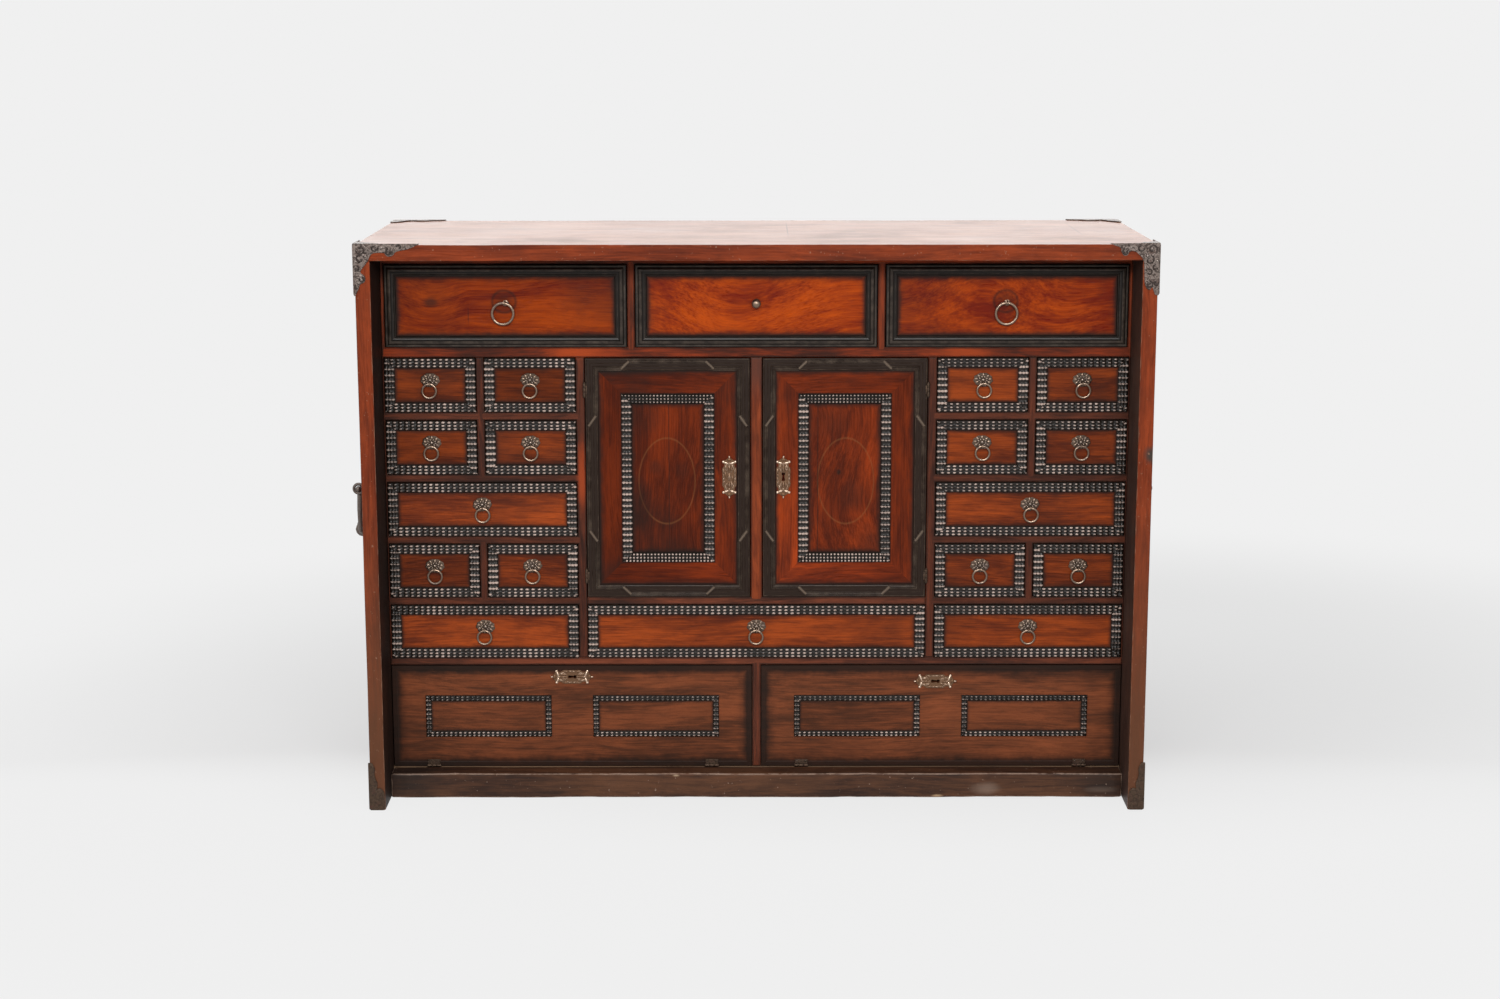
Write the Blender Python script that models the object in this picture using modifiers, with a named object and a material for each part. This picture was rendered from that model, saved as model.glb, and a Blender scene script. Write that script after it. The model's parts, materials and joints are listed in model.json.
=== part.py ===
"""Walnut table cabinet with twenty drawers, two cupboard doors and two fall flaps.

Metres, +Z up. The front faces -Y and the case stands on Z = 0. The places below are counted from
the middle of the case's front edges. Every object is parented to one empty, which moves that
point so that the world's origin lies under the middle of the whole cabinet, handles and irons
included. Every board, drawer, door, flap, ring pull, handle and corner iron is its own closed
solid. Drawers slide along -Y, doors turn on upright barrels, flaps fall forward on barrels along
their lower edge, and rings and handles swing in their eyes.
"""

import math

import bmesh
import bpy
from mathutils import Matrix, Vector

# Case boards
CASE_DEPTH = 0.399
SIDE_THICKNESS = 0.021
TOP_THICKNESS = 0.022
BACK_THICKNESS = 0.012
BOTTOM_THICKNESS = 0.018
SEAT_GAP = 0.0003
RECESS_DEPTH = 0.090
OVERRUN = 0.010
WELD = 0.00001
FACING_SHARE = 0.9

# Plinth rail below the flaps
RAIL_PROJECTION = 0.035
RAIL_TOP_ROUND = 0.004
RAIL_LIFT = 0.0008

# Widths across the front
CENTRE_OPENING = 0.487
BANK_OPENING = 0.2715
PARTITION = 0.012
LINING = 0.002
MUNTIN = 0.0105
TOP_DIVIDER = 0.010
TOP_END_POST = 0.0045
FLAP_DIVIDER = 0.012
CENTRE_STILE = 0.016
STILE_DEPTH = 0.020

# Heights up the front
FLOOR_TO_FLAP = 0.0375
FLAP_OPENING = 0.153
LOWER_BOARD = 0.0105
ROW_OPENING = 0.0787
ROW_COUNT = 5
SPLIT_ROWS = (1, 2, 4)
SHELF = 0.011
UPPER_BOARD = 0.014
TOP_ROW_OPENING = 0.118
TOP_RAIL = 0.0132
TOP_RAIL_DEPTH = 0.022

# Drawers
SIDE_CLEARANCE = 0.001
HEAD_CLEARANCE = 0.0006
DRAWER_BACK_CLEARANCE = 0.0117
DRAWER_WALL = 0.008
DRAWER_FRONT = 0.014
DRAWER_BOTTOM = 0.007

# Ripple mouldings, a band of three reeds
RIPPLE_WIDTH = 0.014
RIPPLE_RISE = 0.0040
RIPPLE_GROOVE = 0.0012
REED_COUNT = 3
REED_FLANK = 0.0010

# Broad ebonised mouldings of the top drawers: outer step, crest and inner step
BROAD_SLOPE = 0.0015
BROAD_STEP = 0.0035
BROAD_STEP_RISE = 0.0030
BROAD_CREST = 0.0035
BROAD_CREST_RISE = 0.0035
BROAD_HOLLOW = 0.0030
BROAD_HOLLOW_DROP = 0.0045

# Ring pulls
RING_RADIUS = 0.0097
RING_WIRE = 0.0013
BIG_RING_RADIUS = 0.0148
BIG_RING_WIRE = 0.0017
PULL_LIFT = 0.0021
BIG_PULL_LIFT = 0.0043
RING_PLAY = 0.0006
EYE_WIRE = 0.0010
EYE_SINK = 0.0010
BOSS_RADIUS = 0.0112
BOSS_CROWN_RADIUS = 0.0072
BOSS_RISE = 0.0040
BOSS_CROWN_RISE = 0.0016
BOSS_ABOVE_EYE = 0.0052
BOSS_SINK = 0.0020
RING_STEPS = 16
WIRE_STEPS = 6
BOSS_STEPS = 12

# Turned knob of the middle top drawer, from its tip to its peg
KNOB_LENGTH = 0.017
KNOB_RADIUS = 0.0068
KNOB_NECK = 0.0030
KNOB_FOOT = 0.0052
KNOB_PEG = 0.0040
KNOB_STEPS = 14
KNOB_LENGTH_SHARES = (1.0, 0.93, 0.72, 0.48, 0.34, 0.12, 0.0)
KNOB_CROWN_SHARES = (0.0, 0.59, 1.0, 0.87)

# Doors
DOOR_THICKNESS = 0.016
DOOR_GAP = 0.0010
DOOR_LIFT = 0.0006
BORDER_WIDTH = 0.0155
BORDER_RISE = 0.0030
BORDER_SLOPE = 0.0006
ZIGZAG_WIDTH = 0.0048
ZIGZAG_RISE = 0.0026
ZIGZAG_INSET = 0.0088
ZIGZAG_OUTSET = 0.0016
ZIGZAG_BREAK_SHARE = 0.245
ZIGZAG_SLANT = 0.0100
PANEL_INSET = 0.051
PANEL_SINK = 0.0010
BARREL_RADIUS = 0.0024
BARREL_LENGTH = 0.019
BARREL_GAP = 0.0004
BARREL_STEPS = 10
LEAF_WIDTH = 0.0042
DOOR_BARREL_SHARES = (0.09, 0.87)

# Flaps
FLAP_THICKNESS = 0.014
FLAP_SIDE_GAP = 0.0016
FLAP_HEAD_GAP = 0.0016
FLAP_LIFT = 0.0006
FLAP_FRAME_WIDTH = 0.0085
FLAP_FRAME_RISE = 0.0035
FLAP_PANEL_RISE = 0.0006
FLAP_FRAME_SINK = 0.0030
FLAP_FRAME_LENGTH = 0.1825
FLAP_FRAME_HEIGHT = 0.062
FLAP_FRAME_END = 0.0475
FLAP_FRAME_FOOT = 0.0445
FLAP_BARREL_LENGTH = 0.020
FLAP_BARREL_END = 0.058

# Keyhole plates
PLATE_LENGTH = 0.062
PLATE_WIDTH = 0.0205
PLATE_THICKNESS = 0.0016
PLATE_FROM_DOOR_EDGE = 0.0295
PLATE_DOOR_RISE = 0.002
FLAP_PLATE_FROM_TOP = 0.0165
RIGHT_PLATE_INWARD = 0.0085
RIGHT_PLATE_LOWER = 0.0070
KEYHOLE_RADIUS = 0.0024
KEYHOLE_LEG = 0.0090
KEYHOLE_DEPTH = 0.0080
KEYHOLE_STEPS = 8
PLATE_QUARTER_SHARES = (
    (1.00, 0.00),
    (0.90, 0.34),
    (0.80, 0.26),
    (0.70, 0.78),
    (0.54, 1.00),
    (0.40, 0.66),
    (0.22, 0.86),
    (0.00, 0.72),
)

# Lock cases let on behind the right door and behind both flaps
LOCK_WIDTH = 0.058
LOCK_HEIGHT = 0.040
LOCK_RISE = 0.011
LOCK_SINK = 0.002
LOCK_FROM_EDGE = 0.007

# Carrying handles on the sides
HANDLE_HEIGHT = 0.439
HANDLE_SPAN = 0.104
HANDLE_DROP = 0.066
HANDLE_WIRE = 0.0038
HANDLE_GRIP = 0.0125
HANDLE_PIN = 0.010
HANDLE_PLAY = 0.0007
HANDLE_STANDOFF_LEFT = 0.0268
HANDLE_STANDOFF_RIGHT = 0.0155
HANDLE_EYE_WIRE = 0.0022
HANDLE_SHANK = 0.0034
HANDLE_ROSE = 0.0145
HANDLE_ROSE_THICKNESS = 0.0022
HANDLE_STEPS = 12
HANDLE_GRIP_SHARES = (-0.90, -0.54, 0.0, 0.54, 0.90)
HANDLE_GRIP_SWELL_SHARES = (0.15, 0.75, 1.0, 0.75, 0.15)

# Corner irons of thin forged sheet
IRON_THICKNESS = 0.0018
IRON_LAP = 0.0002
TOP_IRON_ARM_LEFT = 0.094
TOP_IRON_ARM_RIGHT = 0.071
TOP_IRON_ARM_DEEP = 0.062
TOP_IRON_DROP = 0.072
TOP_IRON_WRAP = 0.016
TOP_IRON_TIP = 0.003
TOP_IRON_SHOULDER_SHARE = 0.42
BOTTOM_IRON_RISE = 0.070
BOTTOM_IRON_DEEP = 0.058
BOTTOM_IRON_NARROW = 0.0125
BOTTOM_IRON_SHOULDER = 0.034
BOTTOM_IRON_LIFT = 0.0006

# Places worked out from the sizes above
FRONT = RECESS_DEPTH
RAIL_SETBACK = FRONT - RAIL_PROJECTION
INNER_HALF = CENTRE_OPENING / 2 + PARTITION + BANK_OPENING + LINING
OUTER_HALF = INNER_HALF + SIDE_THICKNESS
LOWER_UNDER = FLOOR_TO_FLAP + FLAP_OPENING
ROWS_FOOT = LOWER_UNDER + LOWER_BOARD
ROW_PITCH = ROW_OPENING + SHELF
ROWS_HEAD = ROWS_FOOT + ROW_COUNT * ROW_PITCH - SHELF
TOP_ROW_FOOT = ROWS_HEAD + UPPER_BOARD
TOP_ROW_HEAD = TOP_ROW_FOOT + TOP_ROW_OPENING
TOP_UNDER = TOP_ROW_HEAD + TOP_RAIL
CASE_HEIGHT = TOP_UNDER + TOP_THICKNESS
FRAME_BACK = CASE_DEPTH - BACK_THICKNESS - SEAT_GAP
DRAWER_LENGTH = FRAME_BACK - FRONT - DRAWER_BACK_CLEARANCE
FRAME_HALF = INNER_HALF - SEAT_GAP
TOP_OPENING = (2 * INNER_HALF - 2 * TOP_END_POST - 2 * TOP_DIVIDER) / 3
HALF_OPENING = (BANK_OPENING - MUNTIN) / 2
BANK_INNER = CENTRE_OPENING / 2 + PARTITION
BANK_OUTER = BANK_INNER + BANK_OPENING
EYE_RADIUS = RING_WIRE + RING_PLAY + EYE_WIRE
BIG_EYE_RADIUS = BIG_RING_WIRE + RING_PLAY + EYE_WIRE
HANDLE_EYE_RADIUS = HANDLE_WIRE + HANDLE_PLAY + HANDLE_EYE_WIRE
MIDDLE_X = (HANDLE_STANDOFF_RIGHT - HANDLE_STANDOFF_LEFT) / 2
MIDDLE_Y = (CASE_DEPTH - SEAT_GAP - IRON_THICKNESS) / 2
EYE_STANDOFF = BOSS_RISE + EYE_RADIUS - EYE_SINK
BIG_EYE_STANDOFF = BIG_EYE_RADIUS + EYE_SINK + EYE_WIRE

FINISHES = {
    "case walnut": ((0.26, 0.075, 0.030), 0.35, 0.0),
    "inner walnut": ((0.20, 0.060, 0.025), 0.45, 0.0),
    "bright walnut": ((0.42, 0.110, 0.025), 0.30, 0.0),
    "drawer walnut": ((0.17, 0.050, 0.022), 0.38, 0.0),
    "door walnut": ((0.18, 0.035, 0.015), 0.32, 0.0),
    "flap walnut": ((0.14, 0.050, 0.025), 0.40, 0.0),
    "back board": ((0.19, 0.110, 0.060), 0.70, 0.0),
    "forged iron": ((0.075, 0.062, 0.055), 0.50, 0.85),
}

ACROSS = {
    "X": Matrix.Rotation(math.pi / 2, 4, "Z") @ Matrix.Rotation(math.pi / 2, 4, "X"),
    "Y": Matrix.Rotation(math.pi / 2, 4, "X"),
    "Z": Matrix.Identity(4),
}


def fresh_collection(name):
    """A new collection linked to the scene."""
    collection = bpy.data.collections.new(name)
    bpy.context.scene.collection.children.link(collection)
    return collection


def finish(name):
    """The named Principled material, made on first use."""
    made = bpy.data.materials.get(name)
    if made:
        return made
    colour, roughness, metallic = FINISHES[name]
    made = bpy.data.materials.new(name)
    made.use_nodes = True
    shader = made.node_tree.nodes["Principled BSDF"]
    shader.inputs["Base Color"].default_value = (*colour, 1.0)
    shader.inputs["Roughness"].default_value = roughness
    shader.inputs["Metallic"].default_value = metallic
    return made


def add_box(bm, low, high):
    """A box between two corners, added to a bmesh."""
    low, high = Vector(low), Vector(high)
    size = Matrix.Diagonal((*(high - low), 1.0))
    place = Matrix.Translation((low + high) / 2)
    return bmesh.ops.create_cube(bm, size=1.0, matrix=place @ size)["verts"]


def object_of(name, bm, material, origin, collection):
    """A bmesh in world places made an object whose origin is at the given point."""
    mesh = bpy.data.meshes.new(name)
    bmesh.ops.translate(bm, verts=bm.verts, vec=-Vector(origin))
    bmesh.ops.recalc_face_normals(bm, faces=bm.faces)
    bm.to_mesh(mesh)
    bm.free()
    made = bpy.data.objects.new(name, mesh)
    made.location = origin
    collection.objects.link(made)
    if material:
        mesh.materials.append(finish(material))
    return made


def piece(name, bm, material, origin=(0.0, 0.0, 0.0)):
    """A sub-part of the cabinet."""
    return object_of(name, bm, material, origin, CABINET)


def tool(name, bm, origin=(0.0, 0.0, 0.0)):
    """A shape that cuts a piece or is joined to it, left out of the model itself."""
    return as_tool(object_of(name, bm, None, origin, TOOLS))


def as_tool(made):
    """Marks an object as a cutter or joined shape."""
    made.hide_render = True
    made.display_type = "WIRE"
    return made


def combine(target, made, operation):
    """A live Boolean of one tool on a piece."""
    modifier = target.modifiers.new(made.name, "BOOLEAN")
    modifier.operation = operation
    modifier.object = made
    return modifier


def cut(target, *tools):
    """Cuts each tool from the piece."""
    for made in tools:
        combine(target, made, "DIFFERENCE")


def join(target, *tools):
    """Joins each tool to the piece as one solid."""
    for made in tools:
        combine(target, made, "UNION")


def board(name, low, high, material):
    """A plain board between two corners."""
    bm = bmesh.new()
    add_box(bm, low, high)
    return piece(name, bm, material)


def face_towards(bm, direction):
    """The face that looks most in a direction and lies furthest along it."""
    aim = Vector(direction)
    facing = [f for f in bm.faces if f.normal.dot(aim) > FACING_SHARE]
    return max(facing, key=lambda f: f.calc_center_median().dot(aim))


def push(bm, face, offset):
    """Extrudes one face by an offset and returns the moved face."""
    made = bmesh.ops.extrude_discrete_faces(bm, faces=[face])["faces"][0]
    bmesh.ops.translate(bm, verts=made.verts, vec=offset)
    return made


def mould(bm, face, steps):
    """Runs a moulding inside a face's edges: each step goes in and up by its two sizes."""
    for across, up in steps:
        bmesh.ops.inset_region(bm, faces=[face], thickness=across, depth=up, use_even_offset=True)


def reeded(width, rise, groove):
    """The profile of a band of like reeds, from its outer edge to its inner one."""
    flat = width / REED_COUNT - 2 * REED_FLANK
    steps = [(REED_FLANK, rise), (flat, 0.0)]
    for _ in range(REED_COUNT - 1):
        steps += [(REED_FLANK, -groove), (REED_FLANK, groove), (flat, 0.0)]
    return steps + [(REED_FLANK, -rise)]


def broad_profile():
    """The profile of the top drawers' broad moulding: a step, a crest and a hollow."""
    fall = BROAD_STEP_RISE + BROAD_CREST_RISE - BROAD_HOLLOW_DROP
    return [
        (BROAD_SLOPE, BROAD_STEP_RISE),
        (BROAD_STEP, 0.0),
        (BROAD_SLOPE, BROAD_CREST_RISE),
        (BROAD_CREST, 0.0),
        (BROAD_SLOPE, -BROAD_HOLLOW_DROP),
        (BROAD_HOLLOW, 0.0),
        (BROAD_SLOPE, -fall),
    ]


def make_case():
    """Top, sides, back, bottom and plinth rail."""
    board("top_board", (-OUTER_HALF, 0.0, TOP_UNDER), (OUTER_HALF, CASE_DEPTH, CASE_HEIGHT), "case walnut")
    sides = {}
    for side, sign in (("left", -1), ("right", 1)):
        ends = sorted((sign * INNER_HALF, sign * OUTER_HALF))
        low = (ends[0], 0.0, 0.0)
        high = (ends[1], CASE_DEPTH, TOP_UNDER - SEAT_GAP)
        sides[side] = board(f"side_{side}", low, high, "case walnut")
    board(
        "back_panel",
        (-FRAME_HALF, CASE_DEPTH - BACK_THICKNESS, RAIL_LIFT),
        (FRAME_HALF, CASE_DEPTH, TOP_UNDER - SEAT_GAP),
        "back board",
    )
    bottom_head = FLOOR_TO_FLAP - SEAT_GAP
    board(
        "bottom_board",
        (-FRAME_HALF, FRONT, bottom_head - BOTTOM_THICKNESS),
        (FRAME_HALF, FRAME_BACK, bottom_head),
        "inner walnut",
    )
    bm = bmesh.new()
    add_box(bm, (-FRAME_HALF, RAIL_SETBACK, RAIL_LIFT), (FRAME_HALF, FRONT - SEAT_GAP, bottom_head))
    front_edge = [
        e
        for e in bm.edges
        if all(v.co.z > bottom_head - SEAT_GAP and v.co.y < RAIL_SETBACK + SEAT_GAP for v in e.verts)
    ]
    bmesh.ops.bevel(
        bm, geom=front_edge, offset=RAIL_TOP_ROUND, segments=3, profile=0.5, affect="EDGES", material=-1
    )
    piece("bottom_rail", bm, "case walnut")
    return sides


def pocketed(name, low, high, cells):
    """A glued-up frame: a block with its cells cut through from front to back."""
    bm = bmesh.new()
    add_box(bm, low, high)
    made = piece(name, bm, "inner walnut")
    for number, group in enumerate(cells):
        cutter = bmesh.new()
        for left, right, foot, head, near in group:
            add_box(cutter, (left, near, foot), (right, high[1] + OVERRUN, head))
        cut(made, tool(f"{name}_cells_{number}", cutter))
    return made


def row_foot(row):
    """Height of the floor of a row, counted from the top row of the banks down."""
    return ROWS_FOOT + (ROW_COUNT - row) * ROW_PITCH


def bank_cells(sign):
    """The openings of one bank of small drawers: name, lower x, higher x and row."""
    side = "left" if sign < 0 else "right"
    cells = []
    for row in range(1, ROW_COUNT + 1):
        spans = {"": (BANK_INNER, BANK_OUTER)}
        if row in SPLIT_ROWS:
            spans = {
                "_inner": (BANK_INNER, BANK_INNER + HALF_OPENING),
                "_outer": (BANK_OUTER - HALF_OPENING, BANK_OUTER),
            }
        for label, (near, far) in spans.items():
            left, right = sorted((sign * near, sign * far))
            cells.append((f"{side}_{row}{label}", left, right, row))
    return cells


def top_cells():
    """The three openings of the top row: name, lower x and higher x."""
    pitch = TOP_OPENING + TOP_DIVIDER
    names = ("top_left", "top_middle", "top_right")
    return [
        (name, (place - 1) * pitch - TOP_OPENING / 2, (place - 1) * pitch + TOP_OPENING / 2)
        for place, name in enumerate(names)
    ]


def make_frames():
    """The inner frames that carry the drawers, doors and flaps."""
    near = FRONT - OVERRUN
    upper = [(left, right, TOP_ROW_FOOT, TOP_ROW_HEAD, near) for _, left, right in top_cells()]
    behind_rail = (-FRAME_HALF - OVERRUN, FRAME_HALF + OVERRUN, TOP_ROW_HEAD, TOP_UNDER + OVERRUN)
    pocketed(
        "upper_frame",
        (-FRAME_HALF, FRONT, ROWS_HEAD),
        (FRAME_HALF, FRAME_BACK, TOP_UNDER - SEAT_GAP),
        [upper, [(*behind_rail, FRONT + TOP_RAIL_DEPTH)]],
    )
    lower = [
        (*sorted((sign * FLAP_DIVIDER / 2, sign * (FRAME_HALF + OVERRUN))), 0.0, LOWER_UNDER, near)
        for sign in (-1, 1)
    ]
    pocketed(
        "lower_frame",
        (-FRAME_HALF, FRONT, FLOOR_TO_FLAP),
        (FRAME_HALF, FRAME_BACK, ROWS_FOOT - SEAT_GAP),
        [lower],
    )
    for sign, side in ((-1, "left"), (1, "right")):
        left, right = sorted((sign * (BANK_INNER - PARTITION), sign * FRAME_HALF))
        cells = [
            (a, b, row_foot(row), row_foot(row) + ROW_OPENING, near) for _, a, b, row in bank_cells(sign)
        ]
        # The lowest and highest cells have the lower and upper boards as floor and roof.
        open_cells = []
        for a, b, foot, head, start in cells:
            if math.isclose(foot, ROWS_FOOT):
                foot -= OVERRUN
            if math.isclose(head, ROWS_HEAD):
                head += OVERRUN
            open_cells.append((a, b, foot, head, start))
        pocketed(
            f"bank_frame_{side}",
            (left, FRONT, ROWS_FOOT),
            (right, FRAME_BACK, ROWS_HEAD - SEAT_GAP),
            [open_cells],
        )
    shelf_foot = ROWS_FOOT + ROW_OPENING
    shelf_head = shelf_foot + SHELF
    half = CENTRE_OPENING / 2 - SEAT_GAP
    beyond = CENTRE_OPENING / 2 + OVERRUN
    door_cells = [
        (*sorted((sign * CENTRE_STILE / 2, sign * beyond)), shelf_head, ROWS_HEAD + OVERRUN, near)
        for sign in (-1, 1)
    ]
    behind_stile = (-CENTRE_STILE, CENTRE_STILE, shelf_head, ROWS_HEAD + OVERRUN, FRONT + STILE_DEPTH)
    pocketed(
        "centre_frame",
        (-half, FRONT, shelf_foot),
        (half, FRAME_BACK, ROWS_HEAD - SEAT_GAP),
        [door_cells, [behind_stile]],
    )


def torus_mesh(name, radius, wire, ring_steps, turn, drop=0.0):
    """A torus mesh, turned about one axis and lowered by a drop."""
    bpy.ops.mesh.primitive_torus_add(
        major_segments=ring_steps, minor_segments=WIRE_STEPS, major_radius=radius, minor_radius=wire
    )
    made = bpy.context.active_object
    mesh = made.data
    mesh.name = name
    mesh.transform(Matrix.Translation((0.0, 0.0, -drop)) @ turn)
    bpy.data.objects.remove(made)
    mesh.shade_smooth()
    return mesh


def boss_bmesh():
    """The domed backplate of a small ring pull, its face towards -Y and its foot sunk in the wood."""
    bm = bmesh.new()
    bmesh.ops.create_cone(
        bm,
        cap_ends=True,
        segments=BOSS_STEPS,
        radius1=BOSS_RADIUS,
        radius2=BOSS_RADIUS,
        depth=BOSS_RISE - BOSS_CROWN_RISE + BOSS_SINK,
        matrix=ACROSS["Y"],
    )
    crown = face_towards(bm, (0.0, -1.0, 0.0))
    mould(bm, crown, [(BOSS_RADIUS - BOSS_CROWN_RADIUS, BOSS_CROWN_RISE)])
    lift = (BOSS_SINK - BOSS_RISE + BOSS_CROWN_RISE) / 2
    bmesh.ops.translate(bm, verts=bm.verts, vec=(0.0, lift, BOSS_ABOVE_EYE))
    return bm


def shared_tool(name, mesh, place):
    """A tool that shares its mesh with its like."""
    made = bpy.data.objects.new(name, mesh)
    made.location = place
    TOOLS.objects.link(made)
    return as_tool(made)


def pull_meshes():
    """The meshes that every ring pull shares."""
    upright = ACROSS["Y"]
    sideways = Matrix.Rotation(math.pi / 2, 4, "Y")
    boss = object_of("boss_shape", boss_bmesh(), None, (0.0, 0.0, 0.0), TOOLS)
    boss_mesh = boss.data
    bpy.data.objects.remove(boss)
    return {
        "ring": torus_mesh("ring", RING_RADIUS, RING_WIRE, RING_STEPS, upright, RING_RADIUS),
        "big ring": torus_mesh(
            "big_ring", BIG_RING_RADIUS, BIG_RING_WIRE, RING_STEPS, upright, BIG_RING_RADIUS
        ),
        "eye": torus_mesh("eye", EYE_RADIUS, EYE_WIRE, HANDLE_STEPS, sideways),
        "big eye": torus_mesh("big_eye", BIG_EYE_RADIUS, EYE_WIRE, HANDLE_STEPS, sideways),
        "boss": boss_mesh,
    }


def drawer(name, left, right, foot, opening, steps):
    """An open box with a moulded front. Returns it and the middle of its front."""
    low_x, high_x = left + SIDE_CLEARANCE, right - SIDE_CLEARANCE
    low_z, high_z = foot + SEAT_GAP, foot + opening - HEAD_CLEARANCE
    bm = bmesh.new()
    added = DRAWER_FRONT - DRAWER_WALL
    add_box(bm, (low_x, FRONT + added, low_z), (high_x, FRONT + DRAWER_LENGTH, high_z))
    rim = face_towards(bm, (0.0, 0.0, 1.0))
    mould(bm, rim, [(DRAWER_WALL, 0.0)])
    push(bm, rim, (0.0, 0.0, low_z + DRAWER_BOTTOM - high_z))
    face = push(bm, face_towards(bm, (0.0, -1.0, 0.0)), (0.0, -added, 0.0))
    bm.normal_update()
    mould(bm, face, steps)
    middle = Vector(((low_x + high_x) / 2, FRONT, (low_z + high_z) / 2))
    material = "bright walnut" if name.startswith("top") else "drawer walnut"
    return piece(f"drawer_{name}", bm, material, middle), middle


def hang_ring(name, box, middle, meshes, size=""):
    """Gives a drawer its eye, its boss where it has one, and its ring."""
    standoff = BIG_EYE_STANDOFF if size else EYE_STANDOFF
    pivot = middle - Vector((0.0, standoff, 0.0))
    if not size:
        join(box, shared_tool(f"boss_{name}", meshes["boss"], middle))
    join(box, shared_tool(f"eye_{name}", meshes[f"{size}eye"], pivot))
    if size:
        shank = bmesh.new()
        bmesh.ops.create_cone(
            shank,
            cap_ends=True,
            segments=WIRE_STEPS,
            radius1=EYE_WIRE,
            radius2=EYE_WIRE,
            depth=2 * EYE_SINK + EYE_WIRE,
            matrix=Matrix.Translation(middle) @ ACROSS["Y"],
        )
        join(box, tool(f"shank_{name}", shank))
    ring = bpy.data.objects.new(f"ring_{name}", meshes[f"{size}ring"])
    ring.location = pivot
    CABINET.objects.link(ring)


def knob_profile():
    """Points down the outer side of the knob, tip first."""
    radii = [share * KNOB_RADIUS for share in KNOB_CROWN_SHARES]
    radii += [KNOB_NECK, KNOB_NECK, KNOB_FOOT]
    points = [(r, share * KNOB_LENGTH) for r, share in zip(radii, KNOB_LENGTH_SHARES)]
    return points + [(KNOB_FOOT, -KNOB_PEG), (0.0, -KNOB_PEG)]


def turned_tool(name, points, place):
    """A turned shape whose axis lies along -Y, joined to a drawer front."""
    mesh = bpy.data.meshes.new(name)
    bm = bmesh.new()
    line = [bm.verts.new((radius, 0.0, height)) for radius, height in points]
    for above, below in zip(line, line[1:]):
        bm.edges.new((above, below))
    bm.to_mesh(mesh)
    bm.free()
    made = bpy.data.objects.new(name, mesh)
    made.location = place
    made.rotation_euler = (math.pi / 2, 0.0, 0.0)
    TOOLS.objects.link(made)
    screw = made.modifiers.new("turn", "SCREW")
    screw.steps = KNOB_STEPS
    screw.render_steps = KNOB_STEPS
    screw.use_merge_vertices = True
    screw.merge_threshold = WELD
    return as_tool(made)


def make_drawers(meshes):
    """All twenty drawers with their rings and the one knob."""
    ripple = reeded(RIPPLE_WIDTH, RIPPLE_RISE, RIPPLE_GROOVE)
    for name, left, right in top_cells():
        box, middle = drawer(name, left, right, TOP_ROW_FOOT, TOP_ROW_OPENING, broad_profile())
        place = middle + Vector((0.0, 0.0, BIG_PULL_LIFT))
        if name == "top_middle":
            join(box, turned_tool("knob", knob_profile(), place))
        else:
            hang_ring(name, box, place, meshes, "big ")
    for sign in (-1, 1):
        for name, left, right, row in bank_cells(sign):
            box, middle = drawer(name, left, right, row_foot(row), ROW_OPENING, ripple)
            hang_ring(name, box, middle + Vector((0.0, 0.0, PULL_LIFT)), meshes)
    half = CENTRE_OPENING / 2
    box, middle = drawer("centre", -half, half, ROWS_FOOT, ROW_OPENING, ripple)
    hang_ring("centre", box, middle + Vector((0.0, 0.0, PULL_LIFT)), meshes)


def outline_mesh(name, loops, thickness, across):
    """Closed flat outlines filled and given a thickness, with their plane across X, Y or Z."""
    curve = bpy.data.curves.new(name, "CURVE")
    curve.dimensions = "2D"
    curve.fill_mode = "BOTH"
    curve.extrude = thickness / 2
    for loop in loops:
        spline = curve.splines.new("POLY")
        spline.points.add(len(loop) - 1)
        for point, (x, z) in zip(spline.points, loop):
            point.co = (x, z, 0.0, 1.0)
        spline.use_cyclic_u = True
    drawn = bpy.data.objects.new(name, curve)
    TOOLS.objects.link(drawn)
    bpy.context.view_layer.update()
    depsgraph = bpy.context.evaluated_depsgraph_get()
    mesh = bpy.data.meshes.new_from_object(drawn.evaluated_get(depsgraph))
    bpy.data.objects.remove(drawn)
    bm = bmesh.new()
    bm.from_mesh(mesh)
    bmesh.ops.remove_doubles(bm, verts=bm.verts, dist=WELD)
    bmesh.ops.recalc_face_normals(bm, faces=bm.faces)
    bm.to_mesh(mesh)
    bm.free()
    mesh.transform(ACROSS[across])
    return mesh


def flat_outline(name, loops, thickness, place, across="Y"):
    """Filled outlines with a thickness, made a tool."""
    return shared_tool(name, outline_mesh(name, loops, thickness, across), place)


def zigzag(width, height, inset):
    """A closed line that runs near a panel's edge along the middles and further in at the corners."""
    points = []
    half = (width / 2, height / 2)
    for turn in range(4):
        along, across = half[turn % 2], half[(turn + 1) % 2]
        near = across - inset
        far = across - inset - ZIGZAG_INSET + ZIGZAG_OUTSET
        brk = along * (1 - 2 * ZIGZAG_BREAK_SHARE)
        corner = along - inset - ZIGZAG_INSET + ZIGZAG_OUTSET
        run = [(-corner, -far), (-brk - ZIGZAG_SLANT / 2, -far), (-brk + ZIGZAG_SLANT / 2, -near)]
        run += [(brk - ZIGZAG_SLANT / 2, -near), (brk + ZIGZAG_SLANT / 2, -far)]
        for a, b in run:
            for _ in range(turn):
                a, b = -b, a
            points.append((a, b))
    return points


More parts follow.
